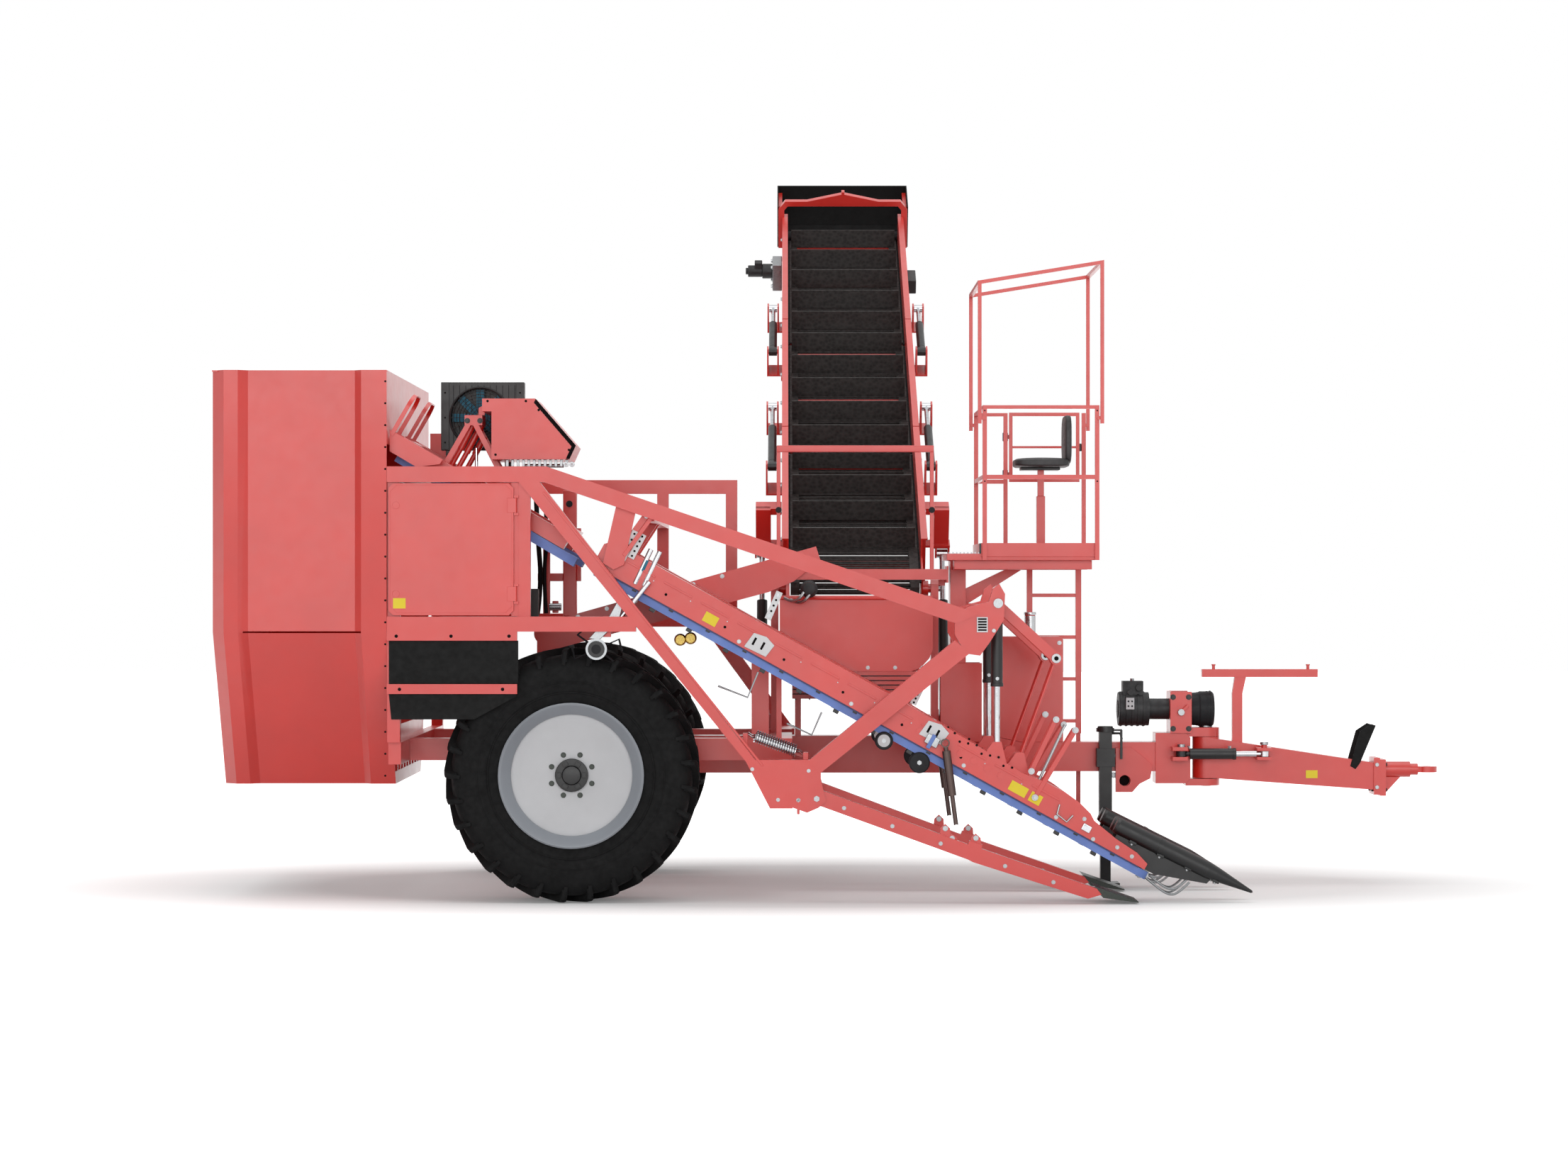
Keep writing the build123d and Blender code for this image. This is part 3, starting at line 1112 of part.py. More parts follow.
leaf_length = hypot(leaf_high[0] - leaf_low[0], leaf_high[1] - leaf_low[1])
lane_half = 170                 # half the width between a lane's side plates
hoop_base, hoop_top = at(-1121, 0, 2918), at(-974, 0, 3172)
hoop_rise = (hoop_top - hoop_base).normalized()
hoop_height = (hoop_top - hoop_base).length
with BuildPart() as leaf_conveyor:
    for mid in row_mids:
        slab(((150, 43), (leaf_length, 43), (leaf_length, 140), (150, 140)),
             leaf_side(mid - 60), 120)
    for v, n, y in ((150, (130, 180), row_mids[0] - 60),
                    (leaf_length - 60, (90, 138), row_mids[0] - lane_half)):
        slab(((v, n[0]), (v + 60, n[0]), (v + 60, n[1]), (v, n[1])), leaf_side(y),
             row_pitch + 2 * (row_mids[0] - y))
    # each lane has two side plates, with a hoop of flat bar over them
    for mid in row_mids:
        for y in (mid - lane_half, mid + lane_half - 8):
            slab(((1190, 22), (1385, 22), (1452, 136), (1440, 140), (1075, 145), (1075, 112)),
                 leaf_side(y), 8)
        with BuildSketch(Plane(origin=hoop_base + Vector(0, mid, 0), x_dir=(0, 1, 0),
                               z_dir=(hoop_rise.Z, 0, -hoop_rise.X))) as hoop:
            Rectangle(2 * lane_half + 16, hoop_height, align=(Align.CENTER, Align.MIN))
            fillet(hoop.vertices().group_by(Axis.Y)[-1], 100)
            with BuildSketch(mode=Mode.PRIVATE) as inside:
                Rectangle(2 * lane_half, hoop_height - 8, align=(Align.CENTER, Align.MIN))
                fillet(inside.vertices().group_by(Axis.Y)[-1], 92)
            add(inside.sketch, mode=Mode.SUBTRACT)
        extrude(hoop.sketch, amount=13, both=True)
    # end plate behind the cooler
    block((-1001, -860), (row_mids[1] + lane_half - 8, row_mids[1] + lane_half), (2800, 2981))
save(leaf_conveyor, "leaf_conveyor")
with BuildPart() as leaf_belts:
    for mid in row_mids:
        for low in (-75, 15):
            slab(((40, -18), (leaf_length - 28, -18), (leaf_length - 28, 40), (40, 40)),
                 leaf_side(mid + low), 60)
save(leaf_belts, "leaf_belts")

with BuildPart() as topper:
    slab(((-564, 3152), (-231, 3152), (22, 2859), (-18, 2771), (-506, 2771), (-506, 3072),
          (-564, 3072)), side(-700), 590)
    # bracket with the three telescoping tubes that set its height
    block((-688, -576), (-1130, -870), (2992, 3055))
    for y in (-1120, -900):
        slab(((-684, 2995), (-648, 2995), (-810, top_beam_z[1] - 10), (-850, top_beam_z[1] - 10)),
             side(y), 12)
        slab(((-636, 2995), (-600, 2995), (-450, top_beam_z[1] - 10), (-490, top_beam_z[1] - 10)),
             side(y), 12)
    for y, top, step in ((-1050, (-643, 2995), (-719, 2846)), (-1000, (-592, 2995), (-685, 2823)),
                         (-906, (-580, 2928), (-642, 2813))):
        foot = (step[0] - 0.559 * (step[1] - 2700), 2700)
        rod(at(top[0], y, top[1]), at(step[0], y, step[1]), 21)
        rod(at(step[0], y, step[1]), at(foot[0], y, foot[1]), 16)
    block((-870, -430), (-1140, -560), (top_beam_z[1] - 50, top_beam_z[1]))
    block((-560, -430), (truss_y[1], -1140), (top_beam_z[1] - 50, top_beam_z[1]))
save(topper, "topper")

fan_mid = (-627, 3061)
cooler_y = (-670, -570)
with BuildPart() as oil_cooler:
    block((-878, -344), cooler_y, (2850, 3288))
    rod(at(fan_mid[0], cooler_y[0] - 1, fan_mid[1]), at(fan_mid[0], cooler_y[0] + 70, fan_mid[1]),
        190, Mode.SUBTRACT)
    rod(at(fan_mid[0], cooler_y[0] + 16, fan_mid[1]),
        at(fan_mid[0], cooler_y[0] + 75, fan_mid[1]), 12)
    for low, high in ((-850, -810), (-470, -430)):
        block((low, high), (cooler_y[0] + 20, cooler_y[1] - 20), (top_beam_z[1], 2850))
save(oil_cooler, "oil_cooler")
with BuildPart() as cooler_fan:
    rod(at(fan_mid[0], cooler_y[0] + 20, fan_mid[1]),
        at(fan_mid[0], cooler_y[0] + 55, fan_mid[1]), 45)
    with BuildSketch(side(cooler_y[0] + 44)) as blades:
        with Locations(fan_mid):
            with PolarLocations(102, 8):
                Rectangle(154, 52)
    extrude(blades.sketch, amount=14)
    rod(at(fan_mid[0], cooler_y[0], fan_mid[1]), at(fan_mid[0], cooler_y[0] + 65, fan_mid[1]),
        12 + pin_fit, Mode.SUBTRACT)
save(cooler_fan, "cooler_fan")
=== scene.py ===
"""Dresses a trailed two-row carrot harvester: paint, belts, fasteners and running gear."""

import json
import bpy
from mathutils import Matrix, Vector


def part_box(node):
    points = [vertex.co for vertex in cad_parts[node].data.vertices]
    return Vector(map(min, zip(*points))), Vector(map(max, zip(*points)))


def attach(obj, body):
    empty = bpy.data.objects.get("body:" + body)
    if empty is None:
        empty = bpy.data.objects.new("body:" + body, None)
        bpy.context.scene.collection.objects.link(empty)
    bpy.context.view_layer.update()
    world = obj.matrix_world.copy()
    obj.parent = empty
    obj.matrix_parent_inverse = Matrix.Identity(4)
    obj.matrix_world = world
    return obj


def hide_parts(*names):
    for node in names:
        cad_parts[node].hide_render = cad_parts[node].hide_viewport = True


bl_info = {
    "name": "Trailed Carrot Harvester",
    "version": (1, 0, 0),
    "blender": (4, 5, 0),
    "location": "3D View > Sidebar > Harvester",
    "description": "Builds the visible detail of a trailed carrot harvester on its frame",
    "category": "Add Mesh",
}

from math import atan2, cos, hypot, pi, radians, sin

import bmesh
import bpy
from bpy.props import FloatProperty, FloatVectorProperty, IntProperty, PointerProperty
from mathutils import Matrix, Vector

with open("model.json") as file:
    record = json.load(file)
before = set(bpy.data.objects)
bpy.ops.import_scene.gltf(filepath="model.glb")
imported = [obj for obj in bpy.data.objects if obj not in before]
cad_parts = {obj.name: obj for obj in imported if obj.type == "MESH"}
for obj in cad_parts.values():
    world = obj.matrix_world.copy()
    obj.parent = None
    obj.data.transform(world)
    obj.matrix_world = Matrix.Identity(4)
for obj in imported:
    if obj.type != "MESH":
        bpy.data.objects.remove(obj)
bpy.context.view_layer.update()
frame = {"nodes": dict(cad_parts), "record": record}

# Frames of the assemblies. All of them take millimetres.
# GROUND is x forwards and y left from the middle of the axle, z from the ground.
MM = 0.001
RIGHT_TYRE, LEFT_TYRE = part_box("tyre_right"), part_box("tyre_left")
AXLE_X = (RIGHT_TYRE[0][0] + RIGHT_TYRE[1][0]) / 2
MID_Y = (RIGHT_TYRE[0][1] + LEFT_TYRE[1][1]) / 2
GROUND = Matrix.Translation((AXLE_X, MID_Y, 0)) @ Matrix.Scale(MM, 4)


def inclined(origin, degrees, axis):
    """A frame turned about a level axis through the origin."""
    return GROUND @ Matrix.Translation(origin) @ Matrix.Rotation(radians(degrees), 4, axis)


LIFTING = inclined((422, 0, 1949), 28.9, "Y")       # u down the channels, y left, n square
ELEVATOR = inclined((1797, 0, 1999), 27.7, "X")     # x forwards, v up the web, n square
LEAF = inclined((50, 0, 2095), 30.54, "Y")          # s down the leaf belts, y left, n square
TORPEDO = inclined((3400, 0, 486), 26.3, "Y")       # down along the crop lifters

OUTWARDS = (0, -1, 0)                               # towards the right-hand side
FORWARDS = (1, 0, 0)
AXLE = ((0, 0, 0), (0, 0, 1))                       # middle and direction of a wheel's axle

ROWS = (-1230, -280)
ROW_PITCH = ROWS[1] - ROWS[0]
BODY_OF = {node: body for body, nodes in frame["record"]["behaviour"]["bodies"].items()
           for node in nodes}
SLOT_OF = {part["node"]: part["material_slot"] for part in frame["record"]["subparts"]}


# Finishes
def settings():
    return bpy.context.scene.harvester


class Nodes:
    """A material's node tree with short ways to add what the finishes share."""

    def __init__(self, name, colour, roughness, metallic=0.0, **sockets):
        self.material = bpy.data.materials.new(name)
        self.material.use_nodes = True
        self.tree = self.material.node_tree
        self.shader = self.tree.nodes["Principled BSDF"]
        self.shader.inputs["Base Color"].default_value = (*colour, 1)
        self.shader.inputs["Roughness"].default_value = roughness
        self.shader.inputs["Metallic"].default_value = metallic
        for socket, value in sockets.items():
            self.shader.inputs[socket.replace("_", " ")].default_value = value
        self.material.diffuse_color = (*colour, 1)
        self.place = self.add("ShaderNodeTexCoord").outputs["Object"]

    def add(self, kind, **values):
        node = self.tree.nodes.new(kind)
        for name, value in values.items():
            setattr(node, name, value)
        return node

    def link(self, start, end):
        self.tree.links.new(start, end)

    def stretched(self, scale):
        mapping = self.add("ShaderNodeMapping")
        mapping.inputs["Scale"].default_value = scale
        self.link(self.place, mapping.inputs["Vector"])
        return mapping.outputs["Vector"]

    def noise(self, scale, detail=3.0, rough=0.55, place=None):
        node = self.add("ShaderNodeTexNoise")
        node.inputs["Scale"].default_value = scale
        node.inputs["Detail"].default_value = detail
        node.inputs["Roughness"].default_value = rough
        self.link(place or self.place, node.inputs["Vector"])
        return node.outputs["Fac"]

    def cells(self, scale, feature="F1"):
        node = self.add("ShaderNodeTexVoronoi", feature=feature)
        node.inputs["Scale"].default_value = scale
        self.link(self.place, node.inputs["Vector"])
        return node.outputs["Distance"]

    def ramp(self, value, low, high, start=0.3, end=0.7):
        """Runs from low to high as the value goes from start to end."""
        node = self.add("ShaderNodeMapRange")
        for socket, number in (("From Min", start), ("From Max", end), ("To Min", low),
                               ("To Max", high)):
            node.inputs[socket].default_value = number
        self.link(value, node.inputs["Value"])
        return node.outputs["Result"]

    def colour(self, value, low, high, start=0.3, end=0.7):
        """Blends the base colour from low to high as the value goes from start to end."""
        node = self.add("ShaderNodeValToRGB")
        for element, place, tint in zip(node.color_ramp.elements, (start, end), (low, high)):
            element.position, element.color = place, (*tint, 1)
        self.link(value, node.inputs["Fac"])
        self.link(node.outputs["Color"], self.shader.inputs["Base Color"])

    def gloss(self, value, low, high, start=0.3, end=0.7):
        self.link(self.ramp(value, low, high, start, end), self.shader.inputs["Roughness"])

    def relief(self, value, strength, distance, under=None):
        bump = self.add("ShaderNodeBump")
        bump.inputs["Strength"].default_value = strength
        bump.inputs["Distance"].default_value = distance
        self.link(value, bump.inputs["Height"])
        if under:
            self.link(under, bump.inputs["Normal"])
        self.link(bump.outputs["Normal"], self.shader.inputs["Normal"])
        return bump.outputs["Normal"]


def shade(colour, factor):
    return tuple(min(1.0, channel * factor) for channel in colour)


def enamel(name, colour, roughness=0.42, coat=1.0):
    """Sprayed enamel: a faint drift of colour, orange peel and a clear gloss on top."""
    n = Nodes(name, colour, roughness, IOR=1.45, Coat_Weight=coat, Coat_Roughness=0.3,
              Coat_IOR=1.5)
    n.colour(n.noise(2.3, 4), shade(colour, 0.93), shade(colour, 1.06))
    n.gloss(n.noise(14, 4), roughness - 0.05, roughness + 0.08)
    peel = n.relief(n.noise(260, 2), 0.05, 0.0006)
    n.relief(n.noise(6, 2), 0.06, 0.004, peel)
    return n.material


def lit_cover_enamel(name, colour):
    """The same enamel on the covers, a little lighter and glossier: the lighter colour is painted
    light, a lit copy of the same red.
    """
    return enamel(name, shade(colour, 1.03), 0.38)


def bare_metal(name, colour, roughness, stretch=(9, 160, 9), strength=0.12):
    n = Nodes(name, colour, roughness, 1.0)
    grain = n.noise(5, 4, 0.6, n.stretched(stretch))
    n.colour(grain, shade(colour, 0.82), shade(colour, 1.1))
    n.gloss(grain, max(0.04, roughness - 0.08), roughness + 0.1)
    n.relief(grain, strength, 0.0006)
    return n.material


def rubber(name, colour, roughness=0.75, grain=220, strength=0.2, drift=1.5):
    n = Nodes(name, colour, roughness, Specular_IOR_Level=0.12)
    n.colour(n.noise(9, 5), shade(colour, 0.75), shade(colour, drift))
    n.gloss(n.noise(30, 3), roughness - 0.1, roughness + 0.12)
    n.relief(n.noise(grain, 3), strength, 0.0012)
    return n.material


def dimpled(name, colour):
    """Moulded rubber with a hammered skin, as on the elevator's flights; painted shade darkens the
    hollows of the dents.
    """
    n = Nodes(name, colour, 0.62, Specular_IOR_Level=0.25)
    cell = n.cells(34)
    # colour darker towards each cell's middle, where the dents sink: painted shade in the hollows
    n.colour(cell, shade(colour, 0.7), shade(colour, 1.35), 0.15, 0.75)
    n.gloss(n.noise(20, 3), 0.5, 0.75)
    n.relief(cell, 0.55, 0.006, n.relief(n.noise(150, 2), 0.15, 0.001))
    return n.material


def casting(name, colour):
    n = Nodes(name, colour, 0.5, Specular_IOR_Level=0.3)
    n.colour(n.noise(11, 5), shade(colour, 0.7), shade(colour, 1.5))
    n.gloss(n.noise(25, 3), 0.38, 0.6)
    n.relief(n.noise(120, 4, 0.7), 0.3, 0.0015)
    return n.material


def woven(name, colour):
    """A flat rubber belt with the imprint of its fabric."""
    n = Nodes(name, colour, 0.55)
    n.colour(n.noise(7, 4), shade(colour, 0.9), shade(colour, 1.08))
    n.gloss(n.noise(18, 3), 0.45, 0.65)
    n.relief(n.cells(900), 0.18, 0.0008)
    return n.material


def grained_vinyl(name, colour):
    n = Nodes(name, colour, 0.5)
    n.colour(n.noise(6, 4), shade(colour, 0.8), shade(colour, 1.3))
    n.gloss(n.noise(40, 3), 0.4, 0.6)
    n.relief(n.cells(330, "SMOOTH_F1"), 0.35, 0.0015)
    return n.material


def galvanised(name, colour):
    """Hot-dip zinc with its spangle."""
    n = Nodes(name, colour, 0.5, 0.8)
    spangle = n.cells(60)
    n.colour(spangle, shade(colour, 0.75), shade(colour, 1.15), 0.1, 0.8)
    n.gloss(spangle, 0.35, 0.6, 0.1, 0.8)
    n.relief(n.noise(90, 3), 0.1, 0.001)
    return n.material


# how each finish is made, its name, its colour or the setting that holds it, and what follows
FINISHES = {
    "red": (enamel, "red enamel", "enamel_colour"),
    "cover": (lit_cover_enamel, "red cover enamel", "enamel_colour"),
    "black": (enamel, "black enamel", (0.008, 0.008, 0.0085), 0.4, 0.05),
    # bluish grey for the rim's flange, bevel and barrel: painted shade where the white rim runs
    # down into its recess
    "grey": (enamel, "grey ring enamel", (0.27, 0.29, 0.32), 0.45, 0.3),
    "white": (enamel, "white disc enamel", (0.53, 0.535, 0.55), 0.5, 0.3),
    "yellow": (enamel, "yellow plate", (0.80, 0.62, 0.012), 0.5, 0.2),
    "chrome": (bare_metal, "hard chrome", (0.52, 0.53, 0.55), 0.12, (6, 6, 30), 0.02),
    "stainless": (bare_metal, "brushed stainless", (0.48, 0.49, 0.5), 0.24),
    "pale": (enamel, "white plate", (0.70, 0.70, 0.71), 0.5, 0.2),
    "zinc": (bare_metal, "zinc plate", (0.33, 0.34, 0.35), 0.32, (30, 30, 30), 0.08),
    "steel": (bare_metal, "worn blade steel", (0.05, 0.055, 0.05), 0.42, (30, 8, 30), 0.2),
    "dark_rod": (bare_metal, "browned rod", (0.09, 0.065, 0.06), 0.4, (20, 90, 20), 0.1),
    "tyre": (rubber, "tyre rubber", (0.0075, 0.0075, 0.0077), 0.72, 160, 0.25, 1.35),
    "rubber": (rubber, "black rubber sheet", (0.008, 0.008, 0.008), 0.6, 300, 0.12, 1.2),
    "flight": (dimpled, "hammered flight rubber", (0.034, 0.031, 0.030)),
    "belt": (woven, "blue belt", "belt_colour"),
    # a darker copy of the belt's blue: painted shade on the belt's edge under the channels' lips
    "belt_edge": (woven, "dark blue belt edge", (0.035, 0.038, 0.12)),
    "plastic": (rubber, "black moulding", (0.018, 0.018, 0.02), 0.42, 400, 0.08, 1.3),
    "casting": (casting, "black casting", (0.02, 0.02, 0.021)),
    # near-black for holes, slots and gaps: painted shade where the openings are dark inside
    "hole": (rubber, "shadowed hole", (0.006, 0.004, 0.004), 0.9, 200, 0.05, 1.2),
    "fan": (rubber, "blue fan moulding", (0.045, 0.20, 0.30), 0.45, 300, 0.08, 1.2),
    "hinge": (rubber, "slate hinge moulding", (0.07, 0.13, 0.20), 0.5, 300, 0.08, 1.2),
    "vinyl": (grained_vinyl, "black seat vinyl", (0.017, 0.017, 0.018)),
    "grating": (galvanised, "galvanised grating", (0.42, 0.44, 0.46)),
    "brass": (bare_metal, "yellow passivated fitting", (0.75, 0.55, 0.16), 0.3,
              (30, 30, 30), 0.05),
}
made_finishes = {}


def finish(name):
    if name not in made_finishes:
        make, label, colour, *values = FINISHES[name]
        if isinstance(colour, str):
            colour = tuple(getattr(settings(), colour))
        made_finishes[name] = make(label, colour, *values)
    return made_finishes[name]


# Modelling helpers
AXES = {"side": (0, 2, 1), "front": (1, 2, 0)}      # across, upward and through the plate


def soften(part, edges, width, segments=2):
    edges = list(edges)
    if width and edges:
        bmesh.ops.bevel(part, geom=edges, offset=width, offset_type="OFFSET", segments=segments,
                        profile=0.5, affect="EDGES", clamp_overlap=True, material=-1)


def pointing(start, direction):
    """A frame at start whose z runs along the direction."""
    turn = Vector((0, 0, 1)).rotation_difference(Vector(direction).normalized())
    return Matrix.Translation(start) @ turn.to_matrix().to_4x4()


def sharp_edges(part, degrees=30):
    return [e for e in part.edges if len(e.link_faces) == 2
            and e.calc_face_angle(0.0) > radians(degrees)]


def collar(start, width, inner, outer):
    """The closed outline of a square ring, for Shape.turned."""
    return ((start, inner), (start, outer), (start + width, outer), (start + width, inner),
            (start, inner))


class Shape:
    """A piece put together from parts in millimetres in the frame of its assembly."""

    def __init__(self, place=GROUND):
        self.mesh = bmesh.new()
        self.place = place
        self.finishes = []

    def join(self, part, coat, places=(Matrix(),)):
        """Adds a part once for each of its places."""
        if coat not in self.finishes:
            self.finishes.append(coat)
        for face in part.faces:
            face.material_index = self.finishes.index(coat)
        for place in places:
            scratch = bpy.data.meshes.new("part")
            part.to_mesh(scratch)
            scratch.transform(place)
            self.mesh.from_mesh(scratch)
            bpy.data.meshes.remove(scratch)
        part.free()

    def box(self, x, y, z, coat, edge=2.0, places=(Matrix(),)):
        part = bmesh.new()
        bmesh.ops.create_cube(part, size=1)
        bmesh.ops.scale(part, vec=(x[1] - x[0], y[1] - y[0], z[1] - z[0]), verts=part.verts)
        bmesh.ops.translate(part, vec=((x[0] + x[1]) / 2, (y[0] + y[1]) / 2, (z[0] + z[1]) / 2),
                            verts=part.verts)
        soften(part, part.edges, edge)
        self.join(part, coat, places)

    def plate(self, outline, view, low, high, coat, edge=1.2, places=(Matrix(),)):
        """A flat plate: its outline seen from the side or the front, its thickness across it."""
        across, upward, through = AXES[view]
        part = bmesh.new()
        corners = []
        for point in outline:
            place = [0.0, 0.0, 0.0]
            place[across], place[upward], place[through] = point[0], point[1], low
            corners.append(part.verts.new(place))
        face = part.faces.new(corners)
        pushed = bmesh.ops.extrude_face_region(part, geom=[face])["geom"]
        step = [0.0, 0.0, 0.0]
        step[through] = high - low
        bmesh.ops.translate(part, vec=step,
                            verts=[v for v in pushed if isinstance(v, bmesh.types.BMVert)])
        bmesh.ops.recalc_face_normals(part, faces=part.faces)
        soften(part, sharp_edges(part), edge, 1)
        self.join(part, coat, places)

    def rod(self, start, end, radius, coat, sides=20, edge=0.0, places=(Matrix(),)):
        reach = Vector(end) - Vector(start)
        part = bmesh.new()
        bmesh.ops.create_cone(part, cap_ends=True, segments=sides, radius1=radius,
                              radius2=radius, depth=reach.length)
        bmesh.ops.translate(part, vec=(0, 0, reach.length / 2), verts=part.verts)
        soften(part, sharp_edges(part, 50) if edge else (), edge)
        bmesh.ops.transform(part, matrix=pointing(start, reach), verts=part.verts)
        self.join(part, coat, places)

    def pin(self, spot, ends, radius, coat, **more):
        """A rod across the machine at (x, z), between its two ends in y."""
        self.rod(*((spot[0], y, spot[1]) for y in ends), radius, coat, **more)

    def turned(self, outline, start, direction, coat, sides=32, places=(Matrix(),)):
        """Spins an outline of (along, radius) about the line from start."""
        part = bmesh.new()
        points = [part.verts.new((radius, 0, along)) for along, radius in outline]
        edges = [part.edges.new(pair) for pair in zip(points, points[1:])]
        bmesh.ops.spin(part, geom=points + edges, cent=(0, 0, 0), axis=(0, 0, 1), dvec=(0, 0, 0),
                       angle=2 * pi, steps=sides, use_merge=True, use_normal_flip=False,
                       use_duplicate=False)
        bmesh.ops.remove_doubles(part, verts=part.verts, dist=0.01)
        bmesh.ops.recalc_face_normals(part, faces=part.faces)
        bmesh.ops.transform(part, matrix=pointing(start, direction), verts=part.verts)
        self.join(part, coat, places)

    def wire(self, points, radius, coat, sides=2, closed=False, smooth=False):
        """A bent bar or hose that follows a line of points."""
        curve = bpy.data.curves.new("wire", "CURVE")
        curve.dimensions = "3D"
        curve.bevel_depth = radius
        curve.bevel_resolution = sides
        curve.use_fill_caps = True
        curve.resolution_u = 6
        line = curve.splines.new("NURBS" if smooth else "POLY")
        line.points.add(len(points) - 1)
        for knot, point in zip(line.points, points):
            knot.co = (*point, 1)
        line.use_cyclic_u = closed
        if smooth:
            line.order_u = 3
            line.use_endpoint_u = not closed
        holder = bpy.data.objects.new("wire", curve)
        mesh = bpy.data.meshes.new_from_object(holder)
        part = bmesh.new()
        part.from_mesh(mesh)
        bpy.data.objects.remove(holder)
        bpy.data.curves.remove(curve)
        bpy.data.meshes.remove(mesh)
        self.join(part, coat)

    def bolts(self, points, radius, coat="zinc", washer=True, height=None,
              direction=OUTWARDS):
        """Hexagon heads on washers at each point, looking along the direction."""
        places = [pointing(point, direction) for point in points]
        height = height or radius * 0.8
        part = bmesh.new()
        bmesh.ops.create_cone(part, cap_ends=True, segments=6, radius1=radius,
                              radius2=radius * 0.96, depth=height)
        bmesh.ops.translate(part, vec=(0, 0, height / 2 + (2 if washer else 0)), verts=part.verts)
        self.join(part, coat, places)
        if washer:
            part = bmesh.new()
            bmesh.ops.create_cone(part, cap_ends=True, segments=14, radius1=radius * 1.45,
                                  radius2=radius * 1.45, depth=2.4)
            bmesh.ops.translate(part, vec=(0, 0, 1.0), verts=part.verts)
            self.join(part, coat, places)

    def marks(self, points, radius, coat="hole", sides=10, direction=OUTWARDS):
        """Small round holes, drawn as dark discs let into the surface: the discs are painted shade
        for the dark inside of each opening.
        """
        part = bmesh.new()
        bmesh.ops.create_cone(part, cap_ends=True, segments=sides, radius1=radius, radius2=radius,
                              depth=1.6)
        self.join(part, coat, [pointing(point, direction) for point in points])

    def coil(self, start, end, radius, wire, turns, coat, sides=6, steps=12):
        """A close-wound spring between two points."""
        reach = Vector(end) - Vector(start)
        part = bmesh.new()
        ring = bmesh.ops.create_circle(part, cap_ends=False, segments=sides, radius=wire,
                                       matrix=Matrix.Translation((radius, 0, 0))
                                       @ Matrix.Rotation(pi / 2, 4, "X"))["verts"]
        loop = ring + list({e for v in ring for e in v.link_edges})
        count = int(turns * steps)
        bmesh.ops.spin(part, geom=loop, cent=(0, 0, 0), axis=(0, 0, 1),
                       dvec=(0, 0, reach.length / count), angle=2 * pi * turns, steps=count,
                       use_merge=False, use_normal_flip=False, use_duplicate=False)
        bmesh.ops.holes_fill(part, edges=part.edges, sides=0)
        bmesh.ops.recalc_face_normals(part, faces=part.faces)
        bmesh.ops.transform(part, matrix=pointing(start, reach), verts=part.verts)
        self.join(part, coat)

    def done(self, name, body, slot, replaces=(), angle=35):
        data = bpy.data.meshes.new(name)
        bmesh.ops.transform(self.mesh, matrix=self.place, verts=self.mesh.verts)
        self.mesh.to_mesh(data)
        self.mesh.free()
        for coat in self.finishes:
            data.materials.append(finish(coat))
        data.shade_smooth()
        data.set_sharp_from_angle(angle=radians(angle))
        piece = bpy.data.objects.new(name, data)
        even = piece.modifiers.new("Even normals", "WEIGHTED_NORMAL")
        even.keep_sharp = True
        bpy.context.scene.collection.objects.link(piece)
        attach(piece, body)
        if replaces:
            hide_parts(*replaces)
        return piece


def dress(node, coat, edge=2.0):
    """A copy of a steel node with its doubles merged and its edges rounded, in its place."""
    part = bmesh.new()
    part.from_mesh(frame["nodes"][node].data)
    bmesh.ops.remove_doubles(part, verts=part.verts, dist=1e-5)
    bmesh.ops.dissolve_limit(part, angle_limit=radians(1), verts=part.verts, edges=part.edges)
    soften(part, sharp_edges(part), edge * MM)
    shape = Shape(Matrix())
    shape.join(part, coat)
    return shape.done(node.replace("_", " ").title().replace(" ", ""), BODY_OF[node],
                      SLOT_OF[node], (node,))


def recoat(node, coat):
    """Gives a node that keeps its own mesh its finish."""
    data = frame["nodes"][node].data
    data.materials.clear()
    data.materials.append(finish(coat))


class HarvesterSettings(bpy.types.PropertyGroup):
    """What a user can set before the pieces are built."""

    enamel_colour: FloatVectorProperty(
        name="Enamel", description="Colour of the sprayed steelwork", subtype="COLOR", size=3,
        min=0, max=1, default=(0.61, 0.02, 0.012))
    belt_colour: FloatVectorProperty(
        name="Belts", description="Colour of the lifting and leaf belts", subtype="COLOR", size=3,
        min=0, max=1, default=(0.138, 0.223, 0.552))
    edge_radius: FloatProperty(
        name="Edge radius", description="Rounding of the steelwork's edges", unit="LENGTH",
        default=0.002, min=0.0005, max=0.006, precision=4)
    tyre_lugs: IntProperty(
        name="Tyre lugs", description="Lugs on each half of a tyre", default=29, min=12, max=40)
    key_light: FloatProperty(
        name="Front light", description="Power of the large softbox in front of the machine",
        unit="POWER", default=3500, min=0)


# Steelwork, rubber and rods that keep the frame's shapes
ENAMELLED = {
    "red": ("main_frame", "truss_right", "frame_left", "lifting_channels", "share_arms",
            "drawbar", "drawbar_eye", "elevator_lower", "elevator_middle", "elevator_top",
            "elevator_hood", "elevator_posts", "mast", "platform_rails", "gate", "seat_post",
            "ladder", "oil_tank", "platform", "hopper", "cleaning_conveyor",
            "leaf_conveyor", "topper", "link_arms", "link_rods"),
    "cover": ("leaf_chute", "side_door"),
    "black": ("jack_tube", "jack_leg", "oil_cooler"),
    "rubber": ("skirt_panels", "hood_flaps", "pto_rest"),
}
PLAIN = {
    "black": ("lift_barrels", "fold_barrels_1", "fold_barrels_2", "steering_barrel",
              "elevator_lift_barrels", "torpedoes"),
    "dark_rod": ("share_cylinders",),
    "steel": ("share_blades",),
    "chrome": ("lift_rods", "steering_rod", "elevator_lift_rods", "fold_rods_1", "fold_rods_2"),
    "belt": ("lifting_belts", "leaf_belts"),
    "plastic": ("belt_rollers", "pto_guard"),
    "fan": ("cooler_fan",),
    "casting": ("pump_unit",),
    "flight": ("web_lower", "web_middle", "web_top"),
}


